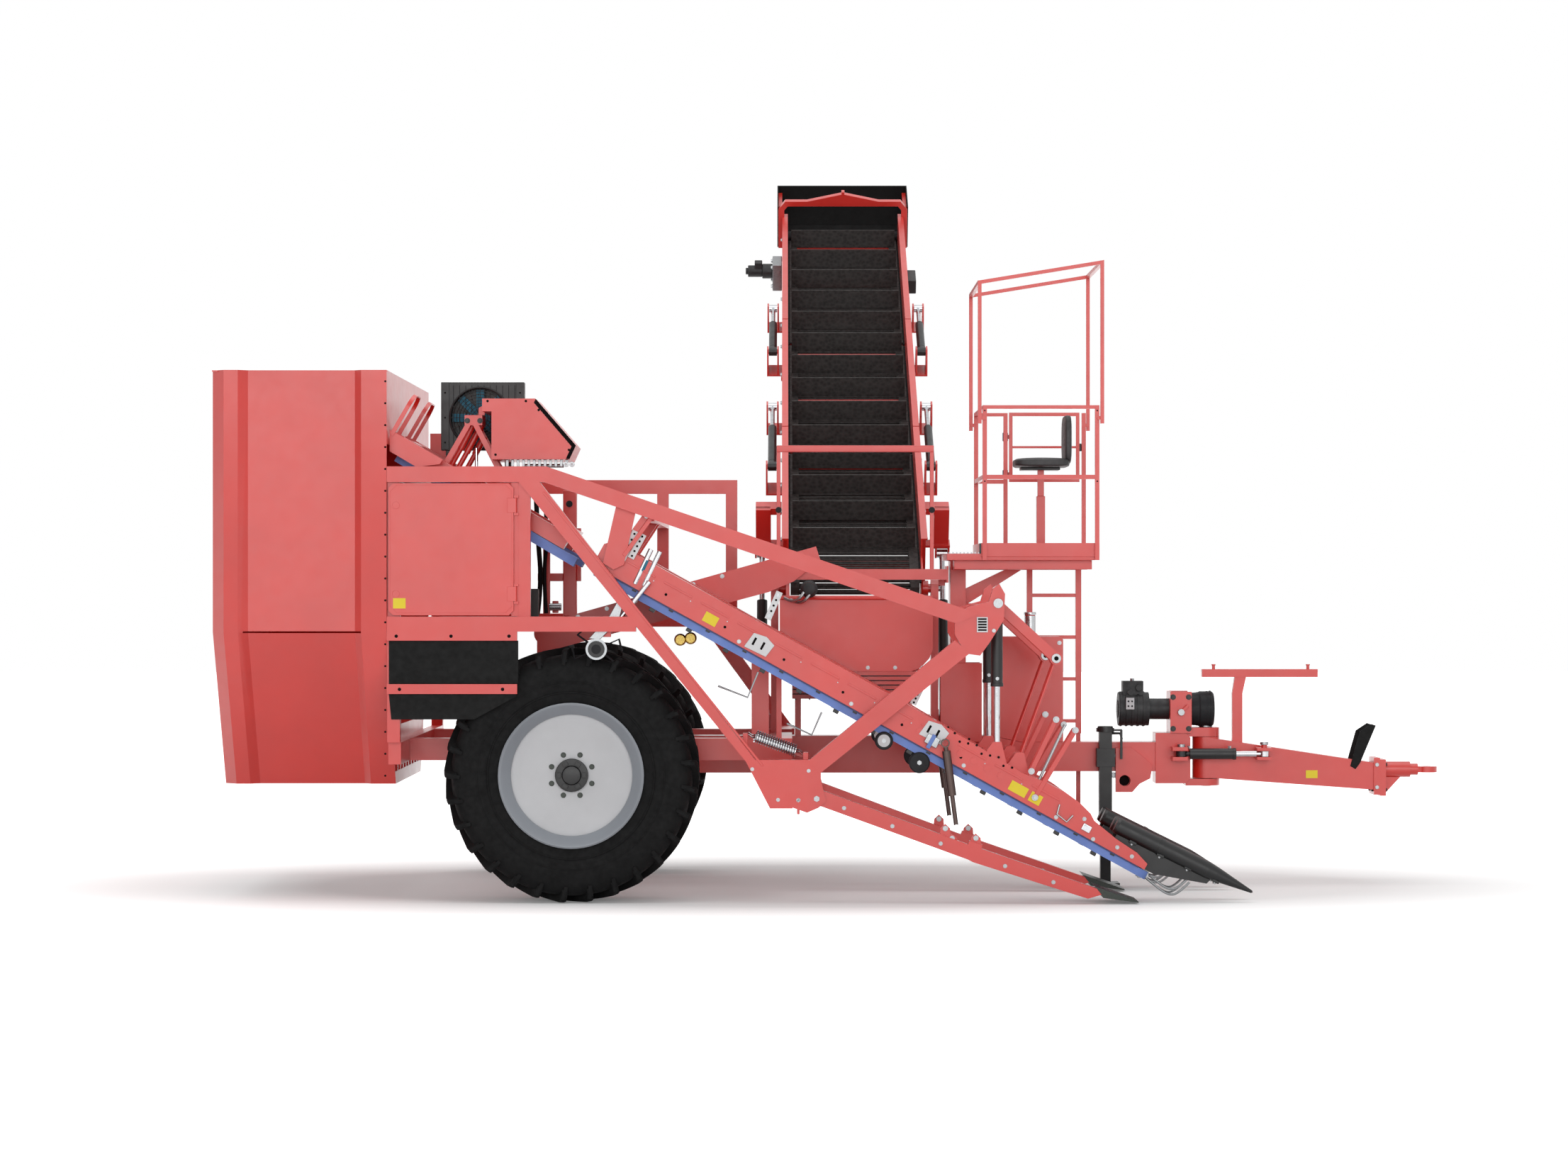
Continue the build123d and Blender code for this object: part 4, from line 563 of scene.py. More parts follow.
class DressSteelwork(bpy.types.Operator):
    """Rounds the edges of the steelwork and gives every node of the frame its finish"""

    bl_idname = "harvester.dress_steelwork"
    bl_label = "Dress the steelwork"

    def execute(self, context):
        edge = settings().edge_radius / MM
        for coat, nodes in ENAMELLED.items():
            for node in nodes:
                dress(node, coat, edge)
        for coat, nodes in PLAIN.items():
            for node in nodes:
                recoat(node, coat)
        return {"FINISHED"}


# Wheels
TREAD_RADIUS, CROWN_RADIUS, STUD_RADIUS = 795, 757, 136
TYRE_HALF = ((-226, 452), (-240, 500), (-256, 560), (-262, 620), (-258, 680), (-240, 722),
             (-205, 744), (-150, 753), (0, CROWN_RADIUS))


LUG_ROOT, LUG_REACH, LUG_SWEEP, SWEEP_POWER = 735, 246, 175, 1.7
SHOULDER_TOP, SHOULDER_ROOT = 205, 215              # where the lug and its root start to fall


def tread_bar(hand):
    """One lug from the middle of the tread to the shoulder, bent round the tyre."""
    part = bmesh.new()
    bmesh.ops.create_cube(part, size=1)
    lengthwise = [e for e in part.edges if abs(e.verts[0].co.x - e.verts[1].co.x) > 0.5]
    bmesh.ops.subdivide_edges(part, edges=lengthwise, cuts=6)
    for vert in part.verts:
        t, across, height = vert.co.x + 0.5, vert.co.y, vert.co.z + 0.5
        along = 10 + LUG_REACH * t
        arc = LUG_SWEEP * (1 - (1 - t) ** SWEEP_POWER)
        slope = atan2(LUG_SWEEP * SWEEP_POWER * max(1 - t, 0.02) ** (SWEEP_POWER - 1), LUG_REACH)
        width = (40 - 8 * height) * across
        along -= sin(slope) * width
        arc += cos(slope) * width
        top = TREAD_RADIUS - max(0, along - SHOULDER_TOP) * 0.75
        root = LUG_ROOT - max(0, along - SHOULDER_ROOT) * 0.6
        radius = root + height * (top - root)
        angle = arc / TREAD_RADIUS
        vert.co = (radius * cos(angle), radius * sin(angle), hand * along)
    bmesh.ops.recalc_face_normals(part, faces=part.faces)
    return part


class BuildTyres(bpy.types.Operator):
    """Turns both tyres and sets the lugs round them"""

    bl_idname = "harvester.build_tyres"
    bl_label = "Tyres"

    def execute(self, context):
        count = settings().tyre_lugs
        for side, hand in (("right", -1), ("left", 1)):
            shape = wheel_shape(hand)
            ring = list(TYRE_HALF) + [(-along, radius) for along, radius in TYRE_HALF[-2::-1]]
            ring += [(226, 436), (-226, 436), ring[0]]
            shape.turned(ring, *AXLE, "tyre", 96)
            for along, radius in ((250, 520), (258, 585)):
                shape.turned([(along - 3, radius - 6), (along + 3, radius - 3),
                              (along + 3, radius + 3), (along - 3, radius + 6),
                              (along - 3, radius - 6)], *AXLE, "tyre", 96)
            for half in (-1, 1):
                turns = [Matrix.Rotation(2 * pi * (k + (half > 0) / 2) / count, 4, "Z")
                         for k in range(count)]
                shape.join(tread_bar(half), "tyre", turns)
                shape.box((672, 758), (146, 170), sorted((half * 226, half * 262)), "tyre", 3,
                          turns)
            shape.done(f"Tyre{side.title()}", f"wheel_{side}", "tyre_rubber",
                       (f"tyre_{side}",))
        return {"FINISHED"}


def wheel_shape(hand):
    """A shape whose z runs outwards along the axle on that side."""
    return Shape(GROUND @ Matrix.Translation((0, hand * 1185, TREAD_RADIUS))
                 @ Matrix.Rotation(radians(-hand * 90), 4, "X"))


class BuildRims(bpy.types.Operator):
    """Turns the rims with their discs, studs and hub caps"""

    bl_idname = "harvester.build_rims"
    bl_label = "Rims"

    def execute(self, context):
        for side, hand in (("right", -1), ("left", 1)):
            shape = wheel_shape(hand)
            # the grey on the flange and the bevel down to the disc is painted shade of the recess;
            # the barrel behind shares it, the disc takes the white
            for coat, ring in (
                    ("grey", ((240, 452), (246, 446), (240, 438), (172, 388), (160, 386),
                              (160, 380), (178, 382), (244, 434), (251, 446), (244, 455))),
                    ("grey", ((160, 388), (-150, 388), (-226, 450), (-240, 450), (-240, 440),
                              (-160, 378), (150, 378))),
                    ("white", ((156, 386), (158, 330), (150, 316), (150, 95), (138, 95),
                               (138, 316), (146, 330), (144, 386)))):
                shape.turned((*ring, ring[0]), *AXLE, coat, 72)
            shape.turned(((-230, 0), (-230, 92), (138, 92), (138, 0)), *AXLE, "black", 32)
            shape.turned(((138, 0), (138, 104), (172, 104), (176, 96), (176, 62), (188, 55),
                          (192, 40), (194, 0)), *AXLE, "black", 48)
            studs = [2 * pi * (k + 0.5) / 8 for k in range(8)]
            shape.bolts([(STUD_RADIUS * cos(turn), STUD_RADIUS * sin(turn), 150)
                         for turn in studs], 12, "steel", height=9, direction=AXLE[1])
            shape.box((66, 92), (-17, 17), (176, 186), "black", 2,
                      [Matrix.Rotation(2 * pi * k / 6, 4, "Z") for k in range(6)])
            shape.done(f"Rim{side.title()}", f"wheel_{side}", "white_paint", (f"rim_{side}",))
        return {"FINISHED"}


# Lifting channels: what is bolted on them and what hangs from them
CHANNEL_FACE = ROWS[0] - 170
LIFT_PIN, LINK_PIN = (2657, 1870), (3032, 1524)     # upper ends of the lift and the link arms
BOTH_ROWS = [Matrix.Translation((0, ROW_PITCH * k, 0)) for k in (0, 1)]


def strip(shape, start, end, width, y, thickness, coat, places=(Matrix(),)):
    """A flat bar between two points of a side view."""
    reach = Vector((end[0] - start[0], end[1] - start[1]))
    across = Vector((-reach.y, reach.x)).normalized() * (width / 2)
    low, high = Vector(start), Vector(end)
    shape.plate([tuple(p) for p in (low - across, high - across, high + across, low + across)],
                "side", y, y + thickness, coat, 1.5, places)


class BuildChannelFittings(bpy.types.Operator):
    """Bolts, hinge strips, belt clips, plates and clamps on the lifting channels"""

    bl_idname = "harvester.channel_fittings"
    bl_label = "Channel fittings"

    def execute(self, context):
        shape, face = Shape(LIFTING), CHANNEL_FACE
        for k in range(14):
            u = -150 + 262 * k
            if u < 2900:
                shape.box((u, u + 200), (face - 5, face + 1), (116, 128), "red", 2, BOTH_ROWS)
            shape.box((u, u + 36), (face + 10, face + 62), (-78, -56), "black", 3, BOTH_ROWS)
            shape.box((u + 110, u + 138), (face + 2, face + 14), (-20, -2), "black", 2,
                      BOTH_ROWS)
        # darker blue strip just under the channel's lower edge: painted shade on the belt there
        shape.box((-290, 3560), (face + 1, face + 9), (-9, -1), "belt_edge", 1, BOTH_ROWS)
        for y in (face, face + ROW_PITCH):
            shape.bolts([(u, y, 98) for u in range(-210, 2900, 262)], 4, washer=False)
            shape.bolts([(u, y, n) for u, n in (
                (3228, 12), (3385, 40), (3492, 34), (3120, 96), (2960, 20), (2300, 24),
                (1500, 22), (700, 24))], 9)
            shape.marks([(2050 + 52 * k, y - 0.6, 142 + 16 * (k % 3)) for k in range(11)], 8)
            shape.marks([(160 + 420 * k, y - 0.6, 60) for k in range(7)], 9)
        # scalloped guide below the middle of the channel
        for k in range(9):
            shape.pin((1766 + 96 * k, 80), (face - 5, face), 22, "red", places=BOTH_ROWS)
        # bare plates where the labels sit
        for u, length in ((432, 92), (2610, 118), (2752, 78)):
            shape.box((u, u + length), (face - 3, face), (28, 92), "yellow", 1)
        # plates with slots, and the clamp with its strap; the dark slots are painted shade
        for u, n in ((742, 12), (1960, 60)):
            shape.plate(((u, n), (u + 150, n + 8), (u + 164, n + 96), (u + 96, n + 120),
                         (u + 14, n + 104)), "side", face - 10, face - 4,
                        "pale", 2, BOTH_ROWS)
            for slot in (u + 34, u + 94):
                shape.box((slot, slot + 14), (face - 11, face - 9), (n + 34, n + 84), "hole", 0,
                          BOTH_ROWS)
        shape.box((2010, 2096), (face - 34, face - 10), (34, 96), "zinc", 6, BOTH_ROWS)
        shape.box((2036, 2062), (face - 38, face - 9), (10, 104), "belt", 4, BOTH_ROWS)
        # grab handle and its bracket near the nose
        shape.wire([(2940, face - 8, 100), (2955, face - 14, 40),
                    (3030, face - 14, 26), (3046, face - 8, 80)], 6, "zinc")
        shape.box((3130, 3188), (face - 16, face), (30, 74), "chrome", 5, BOTH_ROWS)
        shape.done("ChannelFittings", "lifting_unit", "red_paint")
        return {"FINISHED"}


class BuildChannelRunningGear(bpy.types.Operator):
    """Guide rollers, wire guides, chrome guide tubes and the mast of rods over the nose"""

    bl_idname = "harvester.channel_running_gear"
    bl_label = "Channel running gear"

    def execute(self, context):
        shape = Shape()
        near = CHANNEL_FACE
        for (x, z), radius, rim, middle in (((1950, 1013), 57, "plastic", "white"),
                                            ((2171, 876), 66, "plastic", "plastic")):
            shape.turned(((0, 0), (0, radius - 8), (6, radius), (44, radius), (50, radius - 8),
                          (50, 0)), (x, near + 42, z), OUTWARDS, rim, 36, BOTH_ROWS)
            shape.pin((x, z), (near + 42, near - 8.6), radius * 0.7, middle, edge=2,
                      places=BOTH_ROWS)
            shape.pin((x, z), (near + 20, near - 9.4), 15, "zinc", sides=6, places=BOTH_ROWS)
        for line in (((1345, 1120), (1500, 1048), (1562, 1190)),
                     ((915, 1354), (1100, 1282), (1165, 1440))):
            for y in (near + 2, near + 40):
                shape.wire([(x, y, z) for x, z in line], 6, "zinc", 2)
        for k in (0, 1):
            shape.rod((554 - 56 * k, near + 8, 2192 + 14 * k),
                      (452 - 56 * k, near + 8, 1976 + 14 * k), 16, "chrome", edge=2)
        shape.rod((470, near + 13, 2140), (438, near + 13, 2072), 21, "fan", edge=3)
        # parallel bars over the nose, with their rods and nuts
        for start, end in (((3023, 1145), (2869, 823)), ((3143, 1079), (2891, 659))):
            strip(shape, start, end, 30, near - 6, 8, "red", BOTH_ROWS)
            strip(shape, start, end, 30, near + 118, 8, "red", BOTH_ROWS)
            shape.pin(start, (near - 12, near + 134), 12, "zinc", edge=1, places=BOTH_ROWS)
        for y in (near + 26, near + 84):
            shape.rod((3083, y, 1112), (2862, y, 640), 7, "zinc", sides=10, places=BOTH_ROWS)
        shape.bolts([(x, near - 12 + offset, z) for offset in (0, ROW_PITCH)
                     for x, z in ((3023, 1145), (3143, 1079), (2869, 823), (2891, 659))], 14)
        shape.done("ChannelRunningGear", "lifting_unit", "stainless")
        return {"FINISHED"}


class BuildHangers(bpy.types.Operator):
    """Hangers between the right side frame and the channel, and the paired springs"""

    bl_idname = "harvester.hangers"
    bl_label = "Hangers and springs"

    def execute(self, context):
        shape = Shape()
        y = CHANNEL_FACE - 14
        strip(shape, (470, 2420), (300, 2180), 40, y, 8, "red")
        strip(shape, (500, 2400), (330, 2165), 26, y - 30, 6, "red")
        for start, end in (((404, 2320), (318, 2139)), ((452, 2300), (372, 2150)),
                           ((1300, 1941), (1225, 1770)), ((2188, 1362), (2130, 1240))):
            strip(shape, start, end, 42, y - 8, 5, "pale")
            for k in range(5):
                t = (k + 0.5) / 5
                shape.marks([(start[0] + (end[0] - start[0]) * t, y - 9,
                              start[1] + (end[1] - start[1]) * t)], 7)
        shape.bolts([(470, y, 2412), (310, y, 2196), (1290, y - 8, 1920), (1234, y - 8, 1792)], 10)
        # the inner spring of the pair sits deeper and a little higher
        for depth, lift in ((10, 0), (62, 34 / 3)):
            start, end = (1150, y + depth, 1036 + lift), (1400, y + depth, 944 + lift)
            shape.coil(start, end, 30, 5.2, 17, "chrome")
            for x, z, hook in ((1106, 1052, start), (1446, 927, end)):
                shape.wire([hook, ((x + hook[0]) / 2, hook[1] - 14, hook[2]),
                            (x, hook[1], z + lift)], 5.2, "chrome")
        strip(shape, (1090, 1040), (1470, 902), 16, y + 74, 6, "red")
        strip(shape, (1086, 1060), (1086, 900), 30, y + 4, 74, "red")
        strip(shape, (1462, 940), (1462, 896), 34, y + 4, 74, "red")
        strip(shape, (-168, 2560), (1196, 860), 14, -1503, 3, "red")
        shape.done("Hangers", "chassis", "red_paint")
        return {"FINISHED"}


class BuildCropLifters(bpy.types.Operator):
    """Collars, wear plates, nuts and wire tines of the crop lifters ahead of the channels"""

    bl_idname = "harvester.crop_lifters"
    bl_label = "Crop lifters"

    def execute(self, context):
        shape = Shape(TORPEDO)
        for mid in ROWS:
            for offset in (-105, 105):
                y = mid + offset
                for along, radius in ((60, 50), (300, 55), (620, 46)):
                    shape.turned(collar(along, 26, radius - 6, radius), (0, y, 0), FORWARDS,
                                 "black", 24)
                for k in range(4):
                    shape.box((120 + 190 * k, 168 + 190 * k), (y - 30, y + 30),
                              (-62 + 4 * k, -44 + 4 * k), "black", 4)
                    shape.bolts([(144 + 190 * k, y, -62 + 4 * k)], 10,
                                direction=(0, 0, -1))
        shape.done("CropLifterFittings", "lifting_unit", "black_paint")

        shape = Shape()
        for mid in ROWS:
            for side in (-1, 1):
                y = mid + side * 60
                for lift in (0, 34):
                    shape.wire([(3560, y, 178 + lift), (3640, y + side * 10, 108 + lift),
                                (3735, y + side * 30, 40 + lift), (3800, y + side * 40, 60 + lift),
                                (3862, y + side * 44, 126 + lift)], 7, "zinc", 2, smooth=True)
                shape.box((3540, 3610), (y - 14, y + 14), (150, 236), "zinc", 4)
                shape.pin((3600, 190), (y - 16, y + 16), 15, "zinc", sides=6)
        shape.done("CropTines", "lifting_unit", "stainless")
        return {"FINISHED"}


# Side door, skirts and leaf chute
class BuildDoorFittings(bpy.types.Operator):
    """Quarter-turn locks, hinge plates and the raised border of the side door"""

    bl_idname = "harvester.door_fittings"
    bl_label = "Door fittings"

    def execute(self, context):
        shape = Shape()
        face = -1498
        for z in (1928, 2478):
            shape.pin((-1082, z), (face + 2, face - 1.5), 21, "zinc", edge=1)
            shape.box((-1100, -1064), (face - 1.8, face), (z - 5, z + 5), "chrome", 1)
            shape.box((-372, -351), (face - 1.5, face), (z - 25, z + 25), "pale", 1)
            # dark slot in the lock's plate: painted shade
            shape.box((-366, -358), (face - 1.9, face - 1), (z - 9, z + 9), "hole", 0)
        left, low, right, high, cut = -1118, 1812, -362, 2604, 40
        border = ((left + cut, low), (right - cut, low), (right, low + cut), (right, high - cut),
                  (right - cut, high), (left + cut, high), (left, high - cut), (left, low + cut))
        for a, b in zip(border, (*border[1:], border[0])):
            strip(shape, a, b, 5, face - 1.2, 1.5, "cover")
        shape.box((-1100, -1022), (face - 1.4, face), (1838, 1902), "yellow", 0.5)
        shape.done("DoorFittings", "door", "red_cover")
        return {"FINISHED"}


class BuildSideFittings(bpy.types.Operator):
    """Screws of skirts and chute, plate and bolts of the side frame, and the column behind it"""

    bl_idname = "harvester.side_fittings"
    bl_label = "Side fittings"

    def execute(self, context):
        shape, face = Shape(), -1500
        shape.marks([(x, face, z) for x, z in ((-1080, 1666), (-740, 1666), (-380, 1666),
                                                 (-1060, 1336), (-420, 1336))], 11)
        shape.marks([(-1148, face, z) for z in range(800, 3250, 136)], 7, sides=8)
        # louvre in the frame's front gusset; its dark slits are painted shade between the blades
        shape.box((2524, 2592), (face - 1.5, face + 1), (1690, 1784), "pale", 1)
        for k in range(5):
            shape.box((2531, 2585), (face - 2.6, face - 0.5), (1699 + 17 * k, 1709 + 17 * k),
                      "hole", 0)
        # strip behind the gap between the door and its post
        shape.box((-368, -324), (-1474, -1470), (1790, 2622), "red", 0.5)
        for x, z, radius in ((2657, 1870, 30), (2630, 1700, 12), (1130, 840, 12), (1290, 650, 12),
                             (1480, 830, 12)):
            shape.pin((x, z), (-1499, -1500.8), radius, "zinc", edge=0.5)
        # foot of the share pivot, with its clamp and nut
        shape.box((1392, 1446), (-1498, -1424), (640, 660), "red", 3)
        shape.box((1408, 1424), (-1498, -1424), (560, 700), "red", 3)
        shape.pin((1416, 648), (-1500, -1420), 14, "zinc", sides=6)
        shape.bolts([(1530, -1500, 656)], 20, height=1.5, washer=False)
        shape.done("SideFittings", "chassis", "red_paint")

        # column behind the side frame with its plug and cross bar. The box, the two hoses and
        # the clamp beside it only stand in for what is there: their true form isn't known.
        shape = Shape()
        shape.box((-132, -42), (-40, 40), (1778, 2610), "red", 6)
        shape.box((-42, -14), (-20, 20), (2010, 2360), "red", 3)
        shape.pin((-90, 2520), (-40, -48), 22, "plastic", edge=3)
        shape.box((-300, -132), (-30, 30), (2010, 2062), "red", 4)
        shape.box((-262, -216), (-60, -20), (1790, 2280), "red", 4)
        shape.box((-330, -250), (-700, -640), (1760, 1960), "black", 6)
        for radius, course in ((16, ((-300, -200, 2600), (-290, -180, 2300), (-262, -190, 2000),
                                     (-290, -200, 1790))),
                               (13, ((-240, -220, 2560), (-220, -240, 2300), (-250, -230, 2050),
                                     (-230, -240, 1800)))):
            shape.wire(course, radius, "rubber", 3, smooth=True)
        shape.box((-200, -160), (-80, -50), (1800, 1880), "red", 5)
        shape.rod((-220, -84, 1840), (-140, -84, 1840), 24, "zinc", edge=2)
        shape.done("RearColumn", "chassis", "red_paint")
        return {"FINISHED"}


# Topper and cooler
class BuildTopper(bpy.types.Operator):
    """Screws, lower disc, wing nuts and pins of the leaf topper"""

    bl_idname = "harvester.topper"
    bl_label = "Topper"

    def execute(self, context):
        shape = Shape()
        face = -1290
        shape.marks([(x, face - 0.6, z) for x, z in ((-530, 3136), (-290, 3136), (-210, 3080),
                                                      (-20, 2830), (-480, 2800))], 8)
        # thin dark strip on the topper's side: painted shade of a gap
        shape.plate(((-228, 3150), (24, 2858), (-16, 2773), (-40, 2773), (-4, 2852), (-240, 3126)),
                    "side", face - 3, face + 1, "hole", 1)
        shape.rod((-320, -1160, 2735), (-60, -1160, 2735), 12, "zinc")
        for k in range(12):
            x = -420 + 34 * k
            shape.box((x, x + 16), (face + 60, face + 90), (2728, 2771), "zinc", 2)
        for x in (-40, -2):
            shape.pin((x, 2740), (face - 4, face + 30), 16, "zinc", edge=2)
            shape.pin((x, 2740), (face - 8, face - 4), 8, "white")
        shape.bolts([(-670, -1132, 3020), (-590, -1132, 3020)], 12, "black")
        shape.rod((-616, -1090, 2720), (-616, -1090, 2850), 10, "chrome", edge=1)
        shape.plate(((-600, 3055), (-600, 3100), (-578, 3112), (-560, 3100), (-560, 3055)),
                    "side", -1130, -1120, "red")
        shape.done("TopperFittings", "chassis", "red_paint")
        return {"FINISHED"}


def ring_points(middle, radius, y, count):
    """Points round a circle that faces outwards."""
    return [(middle[0] + radius * cos(2 * pi * k / count), y,
             middle[1] + radius * sin(2 * pi * k / count)) for k in range(count)]


class BuildCooler(bpy.types.Operator):
    """Side channels, fins and the wire guard of the oil cooler"""

    bl_idname = "harvester.cooler"
    bl_label = "Oil cooler"

    def execute(self, context):
        shape = Shape()
        low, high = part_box("oil_cooler")
        low, high = [(GROUND.inverted() @ Vector(v)) for v in (low, high)]
        face = low.y
        middle = (-627, 3061)
        for k in range(22):
            x = low.x + 60 + k * (high.x - low.x - 120) / 21
            shape.box((x - 4, x + 4), (face - 3, face + 90), (high.z - 6, high.z), "black", 1)
            if k % 2:
                shape.box((x - 2, x + 2), (face - 2, face), (2870, high.z - 20), "plastic", 0)
        for x in (low.x, high.x - 52):
            shape.box((x, x + 52), (face - 8, face), (2854, high.z), "black", 3)
            shape.marks([(x + 26, face - 8.6, z) for z in (2900, 3060, 3220)], 6)
        for radius in range(30, 190, 20):
            shape.wire(ring_points(middle, radius, face - 14, 36), 2.2, "black", 1, True)
        shape.wire(ring_points(middle, 193, face - 10, 48), 6, "black", 2, True)
        for spoke in zip(ring_points(middle, 24, face - 14, 16),
                         ring_points(middle, 192, face - 10, 16)):
            shape.rod(*spoke, 2.2, "black", sides=6)
        shape.pin((middle[0], middle[1]), (face - 18, face - 8), 30, "black",
                  edge=2)
        shape.done("CoolerFittings", "chassis", "black_paint")
        return {"FINISHED"}


# Elevator
SIDE_PLATE, STRIP_EDGES = 485, (425, 441)           # from the middle of the web


def elevator_sides(shape, stations, level, start, end):
    """Bolts on both side plates of a section, and the rubber strip inside each of them."""
    for hand in (-1, 1):
        shape.bolts([(hand * SIDE_PLATE, v, level) for v in stations], 12,
                    direction=(hand, 0, 0))
        shape.box(sorted(hand * edge for edge in STRIP_EDGES), (start, end), (-14, -4),
                  "rubber", 1)


class BuildElevatorFittings(bpy.types.Operator):
    """Guard hoop at the elevator's foot, rods of its web, drive motor, bolts and rubber strips"""

    bl_idname = "harvester.elevator_fittings"
    bl_label = "Elevator fittings"

    def execute(self, context):
        shape = Shape()
        for x in (1278, 2290):
            shape.box((x, x + 26), (-50, -10), (2040, 2880), "red", 3)
            shape.pin((x + 13, 2480), (-62, 2), 20, "plastic", edge=3)
        shape.box((1278, 2316), (-56, -4), (2862, 2906), "red", 5)
        for x in (1230, 2330):
            shape.rod((x, 215, 1962), (x + 40, 215, 1962), 20, "zinc", edge=2)
        shape.done("ElevatorGuard", "chassis", "red_paint")

        shape = Shape(ELEVATOR)
        # rods of the web on its upper course, and on its return below
        for count, pitch, level in ((27, 27, -4), (49, 40, -96)):
            for k in range(count):
                v = 37 + pitch * k
                shape.rod((-426, v, level), (426, v, level), 5, "flight", sides=8)
        for hand in (-1, 1):
            inner, outer = sorted((hand * 486, hand * 664)), sorted((hand * 560, hand * 664))
            shape.box(inner, (1040, 1150), (-20, 30), "red", 4)
            shape.box(outer, (1020, 1080), (-270, 30), "red", 4)
        elevator_sides(shape, (480, 900, 1300, 1700), 80, 20, 1974)
        shape.done("ElevatorBaseFittings", "elevator_base", "red_paint")

        shape = Shape(ELEVATOR)
        elevator_sides(shape, (2200, 2700, 3200, 3700), 60, 1998, 3862)
        shape.done("ElevatorMidFittings", "elevator_mid", "red_paint")

        shape = Shape(ELEVATOR)
        elevator_sides(shape, (4100, 4600, 5400, 5800), 60, 3888, 5975)
        # hydraulic motor on its bracket, and the tensioner's cover on the other side
        shape.box((-560, -486), (5060, 5250), (-70, 150), "zinc", 6)
        for v, n in ((5090, -40), (5220, -40), (5090, 120), (5220, 120)):
            shape.bolts([(-560, v, n)], 13, direction=(-1, 0, 0))
        shape.rod((-560, 5155, 60), (-640, 5155, 60), 58, "casting", edge=5)
        shape.rod((-640, 5155, 60), (-752, 5155, 60), 46, "casting", edge=6)
        shape.box((-700, -640), (5120, 5190), (90, 140), "casting", 6)
        shape.rod((-752, 5155, 60), (-770, 5155, 60), 26, "casting", edge=3)
        shape.box((486, 560), (4960, 5180), (-50, 60), "black", 6)
        # edge roller under the hood
        shape.rod((-451, 5960, 20), (451, 5960, 20), 44, "plastic", sides=28)
        # apron behind the hood
        shape.plate(((6330, -150), (6340, -150), (6392, -50), (6382, -50)), "front", -500, 500,
                    "rubber")
        shape.done("ElevatorEndFittings", "elevator_end", "red_paint")
        return {"FINISHED"}


# Conveyors and hopper
class BuildConveyorFittings(bpy.types.Operator):
    """Motor, rollers and tine cleaner of the cleaning conveyor, and the hopper's lip and screen"""

    bl_idname = "harvester.conveyor_fittings"
    bl_label = "Conveyor fittings"

    def execute(self, context):
        shape = Shape()
        shape.turned(((0, 0), (0, 58), (30, 58), (38, 46), (90, 42), (96, 30), (96, 0)),
                     (1491, -104, 1958), OUTWARDS, "casting", 32)
        for x, z in ((1470, 1960), (1510, 1950)):
            shape.wire([(x, -180, z), (x - 30, -200, z - 60), (x - 90, -150, z - 90),
                        (x - 140, -110, z - 60)], 10, "zinc", 2, smooth=True)
        for x, z in ((713, 1635), (645, 1625)):
            shape.turned(((0, 0), (0, 34), (14, 40), (54, 40), (66, 30), (66, 0)),
                         (x, -96, z), OUTWARDS, "brass", 24)
        for k in range(7):
            x = -220 + 190 * k
            shape.bolts([(x, -96, 1700 + (x + 300) * 0.281)], 10)
        # tine cleaner beside the wheel
        hub = Vector((160, -1470, 1584))
        shape.rod(hub, hub + Vector((0, 300, 0)), 26, "black")
        shape.turned(((0, 0), (0, 40), (10, 66), (22, 66), (22, 0)), hub + Vector((0, 22, 0)),
                     OUTWARDS, "zinc", 36)
        shape.rod(hub + Vector((0, 4, 0)), hub - Vector((0, 16, 0)), 52, "black", edge=4)
        shape.rod(hub - Vector((0, 15, 0)), hub - Vector((0, 18, 0)), 30, "plastic", edge=1)
        shape.plate(((112, 1650), (182, 1644), (300, 1760), (330, 1880), (290, 1880), (240, 1790)),
                    "side", -1466, -1458, "zinc", 3)
        for k in range(6):
            turn = 2 * pi * (k + 0.4) / 6
            for y in (60, 110, 160):
                shape.wire([hub + Vector((0, y, 0)),
                            hub + Vector((150 * cos(turn), y, 150 * sin(turn))),
                            hub + Vector((155 * cos(turn - 0.5), y, 155 * sin(turn - 0.5)))],
                           6, "plastic", 1)
        shape.rod(hub + Vector((90, 30, 120)), hub + Vector((330, 30, 420)), 15, "chrome", edge=2)
        shape.box((200, 250), (-1440, -1410), (1660, 1790), "red", 4)
        shape.done("ConveyorFittings", "chassis", "red_paint")

        shape = Shape()
        lip = -68
        shape.wire([(1306, lip, 1896), (2300, lip, 1896)], 9, "red", 2)
        shape.bolts([(1340 + 180 * k, -60, 1440) for k in range(6)], 9)
        for k in range(9):
            x = 1400 + 92 * k
            shape.box((x, x + 8), (-54, 326), (1226, 1234), "plastic", 1)
        for k in range(5):
            shape.box((1384, 2196), (-58, -50), (1262 + 30 * k, 1268 + 30 * k), "plastic", 1)
        shape.done("HopperFittings", "chassis", "red_paint")
        return {"FINISHED"}


